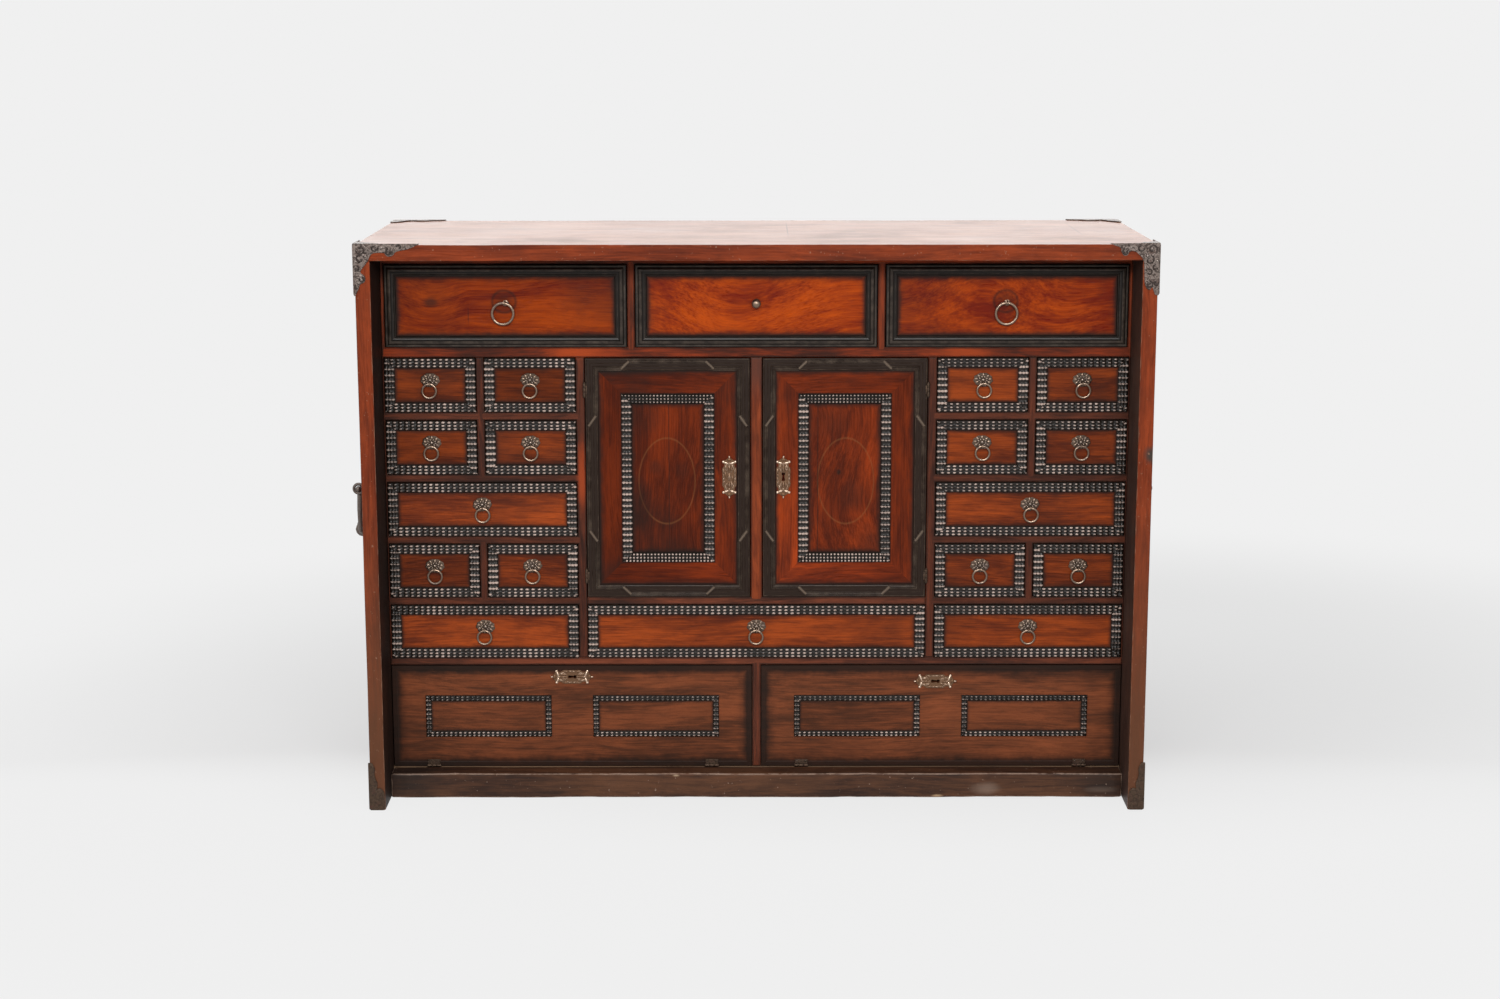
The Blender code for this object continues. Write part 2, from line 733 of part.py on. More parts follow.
def plate_outline(length, width, upright):
    """The lobed outline of a keyhole plate from its quarter."""
    quarter = [(a * length / 2, b * width / 2) for a, b in PLATE_QUARTER_SHARES]
    right = quarter + [(-a, b) for a, b in reversed(quarter[:-1])]
    loop = right + [(a, -b) for a, b in reversed(right[1:-1])]
    return [(b, a) for a, b in loop] if upright else loop


def keyhole_outline(upright):
    """A round eye with a leg below it, or beside it on a plate that lies on its side."""
    leg_half = KEYHOLE_RADIUS / 2
    start = math.asin(leg_half / KEYHOLE_RADIUS)
    sweep = 2 * math.pi - 2 * start
    points = []
    for step in range(KEYHOLE_STEPS + 1):
        angle = -math.pi / 2 + start + sweep * step / KEYHOLE_STEPS
        points.append((KEYHOLE_RADIUS * math.cos(angle), KEYHOLE_RADIUS * math.sin(angle)))
    points += [(-leg_half, -KEYHOLE_LEG), (leg_half, -KEYHOLE_LEG)]
    lifted = [(x, z + KEYHOLE_LEG / 2) for x, z in points]
    return lifted if upright else [(-z, x) for x, z in lifted]


def add_plate(target, name, place, upright, pierced):
    """Joins a keyhole plate to a leaf and cuts its keyhole where it has one."""
    loop = plate_outline(PLATE_LENGTH, PLATE_WIDTH, upright)
    join(target, flat_outline(f"plate_{name}", [loop], 2 * PLATE_THICKNESS, place))
    if pierced:
        hole = flat_outline(f"keyhole_{name}", [keyhole_outline(upright)], 2 * KEYHOLE_DEPTH, place)
        cut(target, hole)


def barrel(name, centre, length, axis):
    """A hinge barrel along X or Z."""
    bm = bmesh.new()
    turn = Matrix.Rotation(math.pi / 2, 4, "Y") if axis == "X" else Matrix.Identity(4)
    bmesh.ops.create_cone(
        bm,
        cap_ends=True,
        segments=BARREL_STEPS,
        radius1=BARREL_RADIUS,
        radius2=BARREL_RADIUS,
        depth=length,
        matrix=Matrix.Translation(centre) @ turn,
    )
    return tool(name, bm)


def add_lock(target, name, low, high):
    """Joins a lock case to the back of a leaf, let a little into the wood."""
    bm = bmesh.new()
    add_box(bm, low, high)
    join(target, tool(f"lock_{name}", bm))


def make_doors():
    """The two cupboard doors with stepped borders, ripple frames, plates and hinge barrels."""
    foot = ROWS_FOOT + ROW_OPENING + SHELF + DOOR_LIFT
    head = ROWS_HEAD - DOOR_GAP
    height = head - foot
    middle_z = (foot + head) / 2
    axis_y = FRONT - BARREL_RADIUS - BARREL_GAP
    for sign, side in ((-1, "left"), (1, "right")):
        outer = sign * (CENTRE_OPENING / 2 - DOOR_GAP)
        inner = sign * (CENTRE_STILE / 2 + DOOR_GAP)
        left, right = sorted((outer, inner))
        width = right - left
        bm = bmesh.new()
        add_box(bm, (left, FRONT, foot), (right, FRONT + DOOR_THICKNESS, head))
        face = face_towards(bm, (0.0, -1.0, 0.0))
        border_flat = BORDER_WIDTH - 2 * BORDER_SLOPE
        border = [(BORDER_SLOPE, BORDER_RISE), (border_flat, 0.0), (BORDER_SLOPE, -BORDER_RISE)]
        mould(bm, face, border + [(PANEL_INSET - BORDER_WIDTH, 0.0)])
        mould(bm, face, reeded(RIPPLE_WIDTH, RIPPLE_RISE, RIPPLE_GROOVE))
        mould(bm, face, [(REED_FLANK, -PANEL_SINK)])
        axis_x = sign * CENTRE_OPENING / 2
        leaf = piece(f"door_{side}", bm, "door walnut", (axis_x, axis_y, middle_z))
        centre = Vector(((left + right) / 2, FRONT - BORDER_RISE, middle_z))
        lines = [
            zigzag(width, height, ZIGZAG_OUTSET),
            zigzag(width, height, ZIGZAG_OUTSET + ZIGZAG_WIDTH),
        ]
        join(leaf, flat_outline(f"zigzag_{side}", lines, 2 * ZIGZAG_RISE, centre))
        plate_x = inner + sign * PLATE_FROM_DOOR_EDGE
        plate_place = Vector((plate_x, FRONT, middle_z + PLATE_DOOR_RISE))
        add_plate(leaf, f"door_{side}", plate_place, True, side == "right")
        if side == "right":
            back = FRONT + DOOR_THICKNESS
            near = inner + LOCK_FROM_EDGE
            lock_low = (near, back - LOCK_SINK, plate_place.z - LOCK_WIDTH / 2)
            lock_high = (near + LOCK_HEIGHT, back + LOCK_RISE, plate_place.z + LOCK_WIDTH / 2)
            add_lock(leaf, "door_right", lock_low, lock_high)
        for number, share in enumerate(DOOR_BARREL_SHARES):
            z = foot + share * height
            place = Vector((axis_x, axis_y, z))
            strap = bmesh.new()
            ends = sorted((axis_x - sign * BARREL_RADIUS / 2, axis_x - sign * LEAF_WIDTH))
            strap_low = (ends[0], axis_y - BARREL_RADIUS / 2, z - BARREL_LENGTH / 3)
            strap_high = (ends[1], FRONT + BORDER_RISE, z + BARREL_LENGTH / 3)
            add_box(strap, strap_low, strap_high)
            join(leaf, tool(f"door_strap_{side}_{number}", strap))
            join(leaf, barrel(f"door_barrel_{side}_{number}", place, BARREL_LENGTH, "Z"))


def flap_frame(name, left, foot):
    """A ripple frame round a slightly raised panel, to be joined to a flap."""
    bm = bmesh.new()
    right, head = left + FLAP_FRAME_LENGTH, foot + FLAP_FRAME_HEIGHT
    add_box(bm, (left, FRONT, foot), (right, FRONT + FLAP_FRAME_SINK, head))
    steps = reeded(FLAP_FRAME_WIDTH, FLAP_FRAME_RISE, RIPPLE_GROOVE)
    across, fall = steps.pop()
    mould(bm, face_towards(bm, (0.0, -1.0, 0.0)), steps + [(across, fall + FLAP_PANEL_RISE)])
    return tool(name, bm)


def make_flaps():
    """The two fall flaps with their ripple frames, plates and hinge barrels."""
    foot = FLOOR_TO_FLAP + FLAP_LIFT
    head = LOWER_UNDER - FLAP_HEAD_GAP
    axis_y = FRONT - BARREL_RADIUS - BARREL_GAP
    axis_z = FLOOR_TO_FLAP + BARREL_RADIUS
    for sign, side in ((-1, "left"), (1, "right")):
        outer = sign * (INNER_HALF - FLAP_SIDE_GAP)
        inner = sign * (FLAP_DIVIDER / 2 + SIDE_CLEARANCE)
        left, right = sorted((outer, inner))
        middle_x = (left + right) / 2
        bm = bmesh.new()
        add_box(bm, (left, FRONT, foot), (right, FRONT + FLAP_THICKNESS, head))
        leaf = piece(f"flap_{side}", bm, "flap walnut", (middle_x, axis_y, axis_z))
        starts = (left + FLAP_FRAME_END, right - FLAP_FRAME_END - FLAP_FRAME_LENGTH)
        for number, start in enumerate(starts):
            join(leaf, flap_frame(f"flap_frame_{side}_{number}", start, foot + FLAP_FRAME_FOOT))
        inward, lower = (RIGHT_PLATE_INWARD, RIGHT_PLATE_LOWER) if sign > 0 else (0.0, 0.0)
        place = Vector((middle_x - inward, FRONT, head - FLAP_PLATE_FROM_TOP - lower))
        add_plate(leaf, f"flap_{side}", place, False, True)
        back = FRONT + FLAP_THICKNESS
        lock_head = head - LOCK_FROM_EDGE
        lock_low = (place.x - LOCK_WIDTH / 2, back - LOCK_SINK, lock_head - LOCK_HEIGHT)
        lock_high = (place.x + LOCK_WIDTH / 2, back + LOCK_RISE, lock_head)
        add_lock(leaf, f"flap_{side}", lock_low, lock_high)
        for number, start in enumerate((left + FLAP_BARREL_END, right - FLAP_BARREL_END)):
            strap = bmesh.new()
            half = FLAP_BARREL_LENGTH / 3
            strap_low = (start - half, axis_y, axis_z - BARREL_RADIUS / 3)
            strap_high = (start + half, FRONT + BARREL_GAP, axis_z + LEAF_WIDTH)
            add_box(strap, strap_low, strap_high)
            join(leaf, tool(f"flap_strap_{side}_{number}", strap))
            middle = Vector((start, axis_y, axis_z))
            join(leaf, barrel(f"flap_barrel_{side}_{number}", middle, FLAP_BARREL_LENGTH, "X"))


def bail_points():
    """The bail's middle line in its own plane and its radius at each point, from pin to pin."""
    half = HANDLE_SPAN / 2
    arm = half - HANDLE_PIN
    bend = HANDLE_WIRE * 2
    side = [
        (half + HANDLE_PIN / 2, 0.0),
        (arm + bend / 2, 0.0),
        (arm, -bend / 2),
        (arm, -HANDLE_DROP + bend),
        (arm - bend / 2, -HANDLE_DROP + bend / 4),
        (arm - bend, -HANDLE_DROP),
    ]
    line = [(y, z, HANDLE_WIRE) for y, z in side]
    for share, swell in zip(reversed(HANDLE_GRIP_SHARES), HANDLE_GRIP_SWELL_SHARES):
        radius = HANDLE_WIRE + swell * (HANDLE_GRIP - HANDLE_WIRE)
        line.append((share * (arm - bend), -HANDLE_DROP, radius))
    return line + [(-y, z, HANDLE_WIRE) for y, z in reversed(side)]


def make_handles(sides):
    """A swinging iron bail on each side, in two forged eyes that are driven into the board."""
    middle_y = CASE_DEPTH / 2
    for side, sign, standoff in (("left", -1, HANDLE_STANDOFF_LEFT), ("right", 1, HANDLE_STANDOFF_RIGHT)):
        axis_x = sign * (OUTER_HALF + standoff)
        curve = bpy.data.curves.new(f"handle_{side}", "CURVE")
        curve.dimensions = "3D"
        curve.bevel_depth = HANDLE_WIRE
        curve.bevel_resolution = 2
        curve.use_fill_caps = True
        spline = curve.splines.new("POLY")
        points = bail_points()
        spline.points.add(len(points) - 1)
        for point, (y, z, radius) in zip(spline.points, points):
            point.co = (0.0, y, z, 1.0)
            point.radius = radius / HANDLE_WIRE
        curve.materials.append(finish("forged iron"))
        bail = bpy.data.objects.new(f"handle_{side}", curve)
        bail.location = (axis_x, middle_y, HANDLE_HEIGHT)
        CABINET.objects.link(bail)
        for end in (-1, 1):
            y = middle_y + end * HANDLE_SPAN / 2
            name = f"{side}_{'front' if end < 0 else 'back'}"
            eye_name = f"handle_eye_{name}"
            eye = torus_mesh(eye_name, HANDLE_EYE_RADIUS, HANDLE_EYE_WIRE, HANDLE_STEPS, ACROSS["Y"])
            eye_tool = shared_tool(eye_name, eye, (axis_x, y, HANDLE_HEIGHT))
            across = Matrix.Rotation(math.pi / 2, 4, "Y")
            root = OUTER_HALF - HANDLE_ROSE_THICKNESS
            tip = OUTER_HALF + standoff - HANDLE_EYE_RADIUS
            shank = bmesh.new()
            bmesh.ops.create_cone(
                shank,
                cap_ends=True,
                segments=WIRE_STEPS + 2,
                radius1=HANDLE_SHANK,
                radius2=HANDLE_SHANK,
                depth=tip - root,
                matrix=Matrix.Translation((sign * (tip + root) / 2, y, HANDLE_HEIGHT)) @ across,
            )
            rose = bmesh.new()
            bmesh.ops.create_cone(
                rose,
                cap_ends=True,
                segments=HANDLE_STEPS,
                radius1=HANDLE_ROSE,
                radius2=HANDLE_ROSE,
                depth=2 * HANDLE_ROSE_THICKNESS,
                matrix=Matrix.Translation((sign * OUTER_HALF, y, HANDLE_HEIGHT)) @ across,
            )
            join(sides[side], tool(f"rose_{name}", rose), tool(f"shank_{name}", shank), eye_tool)


def iron_piece(name, loop, place):
    """The front leaf of a corner iron."""
    mesh = outline_mesh(name, [loop], IRON_THICKNESS, "Y")
    mesh.materials.append(finish("forged iron"))
    made = bpy.data.objects.new(name, mesh)
    made.location = place
    CABINET.objects.link(made)
    return made


def top_iron(side, sign, arm):
    """An iron folded round a top corner: a leaf in front, a leaf on the side and one on the top.

    Each leaf ends a lap short of the plane of the leaf it meets.
    """
    half_skin = IRON_THICKNESS / 2
    front = -SEAT_GAP - IRON_THICKNESS
    outer = OUTER_HALF + SEAT_GAP + IRON_THICKNESS
    edge = outer - IRON_LAP
    head = CASE_HEIGHT + SEAT_GAP + IRON_THICKNESS
    shoulder = TOP_IRON_SHOULDER_SHARE
    fold = head - TOP_THICKNESS - IRON_THICKNESS
    tip = head - TOP_IRON_DROP
    arms = [
        (edge, head - IRON_LAP),
        (edge - arm, head - IRON_LAP),
        (edge - arm, head - TOP_IRON_TIP),
        (edge - arm * shoulder, fold + SEAT_GAP),
        (edge - SIDE_THICKNESS - IRON_THICKNESS, fold),
        (edge - SIDE_THICKNESS + SEAT_GAP, head - TOP_IRON_DROP * shoulder),
        (edge - IRON_THICKNESS - TOP_IRON_TIP, tip),
        (edge, tip),
    ]
    loop = [(sign * x, z) for x, z in arms]
    iron = iron_piece(f"corner_iron_top_{side}", loop, (0.0, front + half_skin, 0.0))
    near = front + IRON_LAP
    cheek_head = head - 2 * IRON_LAP
    cheek = [
        (near, cheek_head),
        (TOP_IRON_ARM_DEEP, cheek_head),
        (TOP_IRON_ARM_DEEP, head - TOP_IRON_TIP),
        (TOP_IRON_ARM_DEEP * shoulder, fold),
        (TOP_IRON_TIP, tip + IRON_LAP),
        (near, tip + IRON_LAP),
    ]
    beside = (sign * (outer - half_skin), 0.0, 0.0)
    join(iron, flat_outline(f"iron_cheek_{side}", [cheek], IRON_THICKNESS, beside, "X"))
    lid_edge = edge - IRON_LAP
    lid_near = near + IRON_LAP
    lid = [
        (lid_edge, lid_near),
        (lid_edge - arm * shoulder, lid_near),
        (lid_edge - TOP_IRON_WRAP, TOP_IRON_WRAP),
        (lid_edge - TOP_IRON_TIP, TOP_IRON_ARM_DEEP * shoulder),
        (lid_edge, TOP_IRON_ARM_DEEP * shoulder),
    ]
    loop = [(sign * x, y) for x, y in lid]
    above = (0.0, 0.0, head - half_skin)
    join(iron, flat_outline(f"iron_lid_{side}", [loop], IRON_THICKNESS, above, "Z"))


def bottom_iron(side, sign):
    """An iron folded round a bottom corner: a leaf in front and a leaf on the side."""
    half_skin = IRON_THICKNESS / 2
    front = -SEAT_GAP - IRON_THICKNESS
    outer = OUTER_HALF + SEAT_GAP + IRON_THICKNESS
    edge = outer - IRON_LAP
    inner = OUTER_HALF - SIDE_THICKNESS + 2 * SEAT_GAP
    foot = BOTTOM_IRON_LIFT
    rise = foot + BOTTOM_IRON_RISE
    shoulder = foot + BOTTOM_IRON_SHOULDER
    boot = [
        (edge, foot),
        (edge, rise),
        (edge - BOTTOM_IRON_NARROW * TOP_IRON_SHOULDER_SHARE, rise),
        (edge - BOTTOM_IRON_NARROW, shoulder),
        (inner, shoulder - TOP_IRON_TIP),
        (inner, foot),
    ]
    loop = [(sign * x, z) for x, z in boot]
    iron = iron_piece(f"corner_iron_bottom_{side}", loop, (0.0, front + half_skin, 0.0))
    near = front + IRON_LAP
    cheek = [
        (near, foot + IRON_LAP),
        (BOTTOM_IRON_DEEP, foot + IRON_LAP),
        (BOTTOM_IRON_DEEP, foot + TOP_IRON_TIP),
        (BOTTOM_IRON_DEEP * TOP_IRON_SHOULDER_SHARE, shoulder),
        (TOP_IRON_TIP, rise - IRON_LAP),
        (near, rise - IRON_LAP),
    ]
    beside = (sign * (outer - half_skin), 0.0, 0.0)
    join(iron, flat_outline(f"iron_boot_cheek_{side}", [cheek], IRON_THICKNESS, beside, "X"))


for existing in list(bpy.data.objects):
    bpy.data.objects.remove(existing)

CABINET = fresh_collection("walnut_cabinet")
TOOLS = fresh_collection("joined_and_cut_shapes")

case_sides = make_case()
make_frames()
shared_meshes = pull_meshes()
for shared in ("ring", "big ring"):
    shared_meshes[shared].materials.append(finish("forged iron"))
make_drawers(shared_meshes)
make_doors()
make_flaps()
make_handles(case_sides)
top_iron("left", -1, TOP_IRON_ARM_LEFT)
top_iron("right", 1, TOP_IRON_ARM_RIGHT)
for side_name, side_sign in (("left", -1), ("right", 1)):
    bottom_iron(side_name, side_sign)

stand = bpy.data.objects.new("cabinet_middle", None)
stand.location = (-MIDDLE_X, -MIDDLE_Y, 0.0)
CABINET.objects.link(stand)
for collection in (CABINET, TOOLS):
    for made in collection.objects:
        if made is not stand:
            made.parent = stand
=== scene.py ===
"""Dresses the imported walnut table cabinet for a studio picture.

The file is laid out as an add-on and is run as a script. Every operator makes one group of
pieces in the frame's own metres: -Y comes out of the front and the ground is Z = 0.
"""

import json
import math
import random

import bmesh
import bpy
from bpy.props import FloatProperty, FloatVectorProperty, IntProperty, PointerProperty
from bpy.types import Operator, Panel, PropertyGroup
from mathutils import Matrix, Vector, noise


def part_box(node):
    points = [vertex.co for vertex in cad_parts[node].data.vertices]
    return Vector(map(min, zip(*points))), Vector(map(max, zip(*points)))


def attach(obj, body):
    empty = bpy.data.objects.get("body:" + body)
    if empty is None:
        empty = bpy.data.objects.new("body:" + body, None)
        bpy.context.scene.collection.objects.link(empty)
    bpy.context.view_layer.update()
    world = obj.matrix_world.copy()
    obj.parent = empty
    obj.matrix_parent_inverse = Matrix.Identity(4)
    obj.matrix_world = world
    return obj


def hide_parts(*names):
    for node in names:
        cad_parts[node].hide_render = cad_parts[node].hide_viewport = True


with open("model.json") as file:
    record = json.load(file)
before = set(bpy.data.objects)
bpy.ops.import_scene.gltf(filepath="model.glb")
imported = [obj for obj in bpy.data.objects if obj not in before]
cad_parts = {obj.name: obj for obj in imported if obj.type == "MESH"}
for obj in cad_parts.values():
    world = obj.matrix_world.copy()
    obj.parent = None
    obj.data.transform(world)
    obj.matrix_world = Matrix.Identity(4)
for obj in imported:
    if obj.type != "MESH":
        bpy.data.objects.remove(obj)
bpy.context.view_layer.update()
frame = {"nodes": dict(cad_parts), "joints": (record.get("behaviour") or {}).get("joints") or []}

bl_info = {
    "name": "Walnut table cabinet",
    "version": (1, 0, 0),
    "blender": (4, 5, 0),
    "location": "3D View > Sidebar > Cabinet",
    "description": "Boards, drawers, doors, flaps, mouldings and irons of a walnut table cabinet",
    "category": "Add Mesh",
}

# Places taken from the frame
NODES = frame["nodes"]
PIVOTS = {j["child"]: Vector(j["pos_m"]) for j in frame["joints"] if j["type"] == "hinge"}
CASE_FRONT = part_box("side_left")[0].y
CASE_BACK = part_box("side_left")[1].y
CASE_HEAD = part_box("top_board")[1].z
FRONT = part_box("centre_frame")[0].y
DRAWERS = sorted(n.removeprefix("drawer_") for n in NODES if n.startswith("drawer_"))
OUT = Vector((0.0, -1.0, 0.0))
SIDES = (("left", -1), ("right", 1))

# Sizes shared by several pieces
SUNK = 0.0002
EYE_WIRE = 0.0010
EYE_PLAY = 0.0006
BOSS_ABOVE_EYE = 0.0052
WALL = 0.008
DRAWER_FLOOR = 0.007
DRAWER_FRONT = 0.014
DOOR_THICKNESS = 0.016
FLAP_THICKNESS = 0.014
SIDE_GAP = 0.001
BIG_LIFT = 0.0043
SMALL_FACE = 0.00004
OUTER_DRAWERS = 0.5

# Brightness of single drawer fronts and the way their rings have swung, in degrees
TONES = {
    "top_left": -0.20, "top_middle": 0.10, "top_right": 0.02,
    "left_1_outer": -0.22, "left_1_inner": -0.48, "left_2_outer": -0.30, "left_2_inner": -0.04,
    "left_3": 0.32, "left_4_outer": -0.25, "left_4_inner": -0.05, "left_5": 0.26, "centre": 0.16,
    "right_1_inner": -0.05, "right_1_outer": -0.15, "right_2_inner": -0.05, "right_2_outer": -0.10,
    "right_3": 0.06, "right_4_inner": -0.05, "right_4_outer": -0.15, "right_5": 0.05,
}
SWINGS = {
    "top_left": 14.0, "top_right": 4.0, "left_1_outer": 6.0,
    "right_1_inner": -9.0, "right_3": -5.0, "centre": 4.0,
}


def end_of(node, sign):
    """The X of a node's left end for a sign of -1, or of its right end for 1."""
    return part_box(node)[0 if sign < 0 else 1].x


def a_colour(name, about, *colour):
    """A colour among the settings."""
    return FloatVectorProperty(name=name, description=about, subtype="COLOR", default=colour)


def a_number(name, about, number, least, most):
    """A count among the settings."""
    return IntProperty(name=name, description=about, min=least, max=most, default=number)


def a_length(name, about, metres):
    """A length among the settings."""
    return FloatProperty(name=name, description=about, unit="LENGTH", default=metres)


def a_share(name, about, share):
    """A number from 0 to 1 among the settings."""
    return FloatProperty(name=name, description=about, subtype="FACTOR", min=0.0, max=1.0, default=share)


def a_power(name, about, watts):
    """A lamp's power among the settings."""
    return FloatProperty(name=name, description=about, unit="POWER", default=watts)


class CabinetWoods(PropertyGroup):
    """Colours and polish of the woods."""

    case_light: a_colour("Case light", "Light streaks of the case", 0.275, 0.048, 0.014)
    case_deep: a_colour("Case deep", "Dark streaks of the case", 0.110, 0.020, 0.008)
    bright_light: a_colour("Top drawers light", "Light figure of the top drawers", 0.42, 0.060, 0.003)
    bright_deep: a_colour("Top drawers deep", "Dark figure of the top drawers", 0.14, 0.011, 0.003)
    drawer_light: a_colour("Small drawers light", "Light figure of the small drawers", 0.315, 0.055, 0.009)
    drawer_deep: a_colour("Small drawers deep", "Dark figure of the small drawers", 0.085, 0.016, 0.006)
    door_light: a_colour("Doors light", "Light figure of the doors", 0.205, 0.027, 0.004)
    door_deep: a_colour("Doors deep", "Dark figure of the doors", 0.058, 0.009, 0.003)
    flap_light: a_colour("Flaps light", "Light figure of the flaps", 0.21, 0.058, 0.022)
    flap_deep: a_colour("Flaps deep", "Dark figure of the flaps", 0.062, 0.022, 0.011)
    lining: a_colour("Lining", "Drawer sides and bottoms", 0.27, 0.15, 0.07)
    ebony: a_colour("Ebonised", "Black-stained mouldings", 0.0100, 0.0075, 0.0058)
    polish: a_share("Polish", "Roughness of the waxed fronts", 0.30)


class CabinetMouldings(PropertyGroup):
    """Sizes of the ripple mouldings."""

    band: a_length("Ripple width", "Width of the ripple band", 0.0142)
    rise: a_length("Ripple rise", "Height of the ripple crown", 0.0040)
    reed: a_length("Reed rise", "Height of one reed", 0.0013)
    wave: a_length("Wave depth", "Depth of the ripple's waves", 0.0016)
    pitch: a_length("Wave pitch", "Distance between waves", 0.0086)
    door_pitch: a_length("Door wave pitch", "Distance between the waves at the doors' sides", 0.0085)
    flap_band: a_length("Flap ripple width", "Width of the ripple band on the flaps", 0.0085)
    reeds: a_number("Reeds", "Reeds side by side in the band", 3, 1, 6)
    stations: a_number("Steps a wave", "Cross sections to one wave", 6, 3, 12)


class CabinetMetals(PropertyGroup):
    """Colours of the irons and the brass."""

    iron: a_colour("Iron", "Forged iron of the handles and back plates", 0.130, 0.105, 0.092)
    rust: a_colour("Rust", "Rust on the iron", 0.075, 0.030, 0.018)
    bronze: a_colour("Bronze", "Brown ring pulls and rosettes", 0.200, 0.140, 0.100)
    brass: a_colour("Brass", "Gilt keyhole plates", 0.70, 0.53, 0.405)
    tarnish: a_colour("Tarnish", "Dark hollows of the plates", 0.135, 0.070, 0.036)
    wear_and_sheen: a_share("Iron roughness", "Roughness of the irons", 0.42)


class CabinetStage(PropertyGroup):
    """Floor, lamps and camera."""

    floor: a_share("Floor", "Grey of the floor", 0.871)
    lens: FloatProperty(name="Lens", description="Focal length of the camera in millimetres", default=60.49)
    pitch: FloatProperty(
        name="Camera pitch", description="How far the camera looks down", subtype="ANGLE",
        default=math.radians(11.053),
    )
    place: FloatVectorProperty(
        name="Camera place", description="Where the camera stands", subtype="TRANSLATION",
        default=(-0.00151, -3.64184, 1.12388),
    )
    front_lamp: a_power("Front lamp", "Watts above the camera", 118.0)
    side_lamps: a_power("Side lamps", "Watts of the two side lamps", 8.0)
    head_lamp: a_power("Overhead lamp", "Watts of the overhead lamp", 34.0)
    back_lamp: a_power("Back lamp", "Watts of the lamp behind", 81.0)
    fill: a_share("Fill", "Light from all round", 0.16)


class Wire:
    """A value in a shader tree. Arithmetic on it adds Math nodes."""

    def __init__(self, finish, socket):
        self.finish = finish
        self.socket = socket

    def math(self, operation, *values):
        return self.finish.node("ShaderNodeMath", {"operation": operation}, dict(enumerate(values)))

    def above(self, other):
        """The larger of two values."""
        return self.math("MAXIMUM", self, other)

    def __add__(self, other):
        return self.math("ADD", self, other)

    __radd__ = __add__

    def __sub__(self, other):
        return self.math("SUBTRACT", self, other)

    def __rsub__(self, other):
        return self.math("SUBTRACT", other, self)

    def __mul__(self, other):
        return self.math("MULTIPLY", self, other)

    __rmul__ = __mul__

    def __abs__(self):
        return self.math("ABSOLUTE", self)


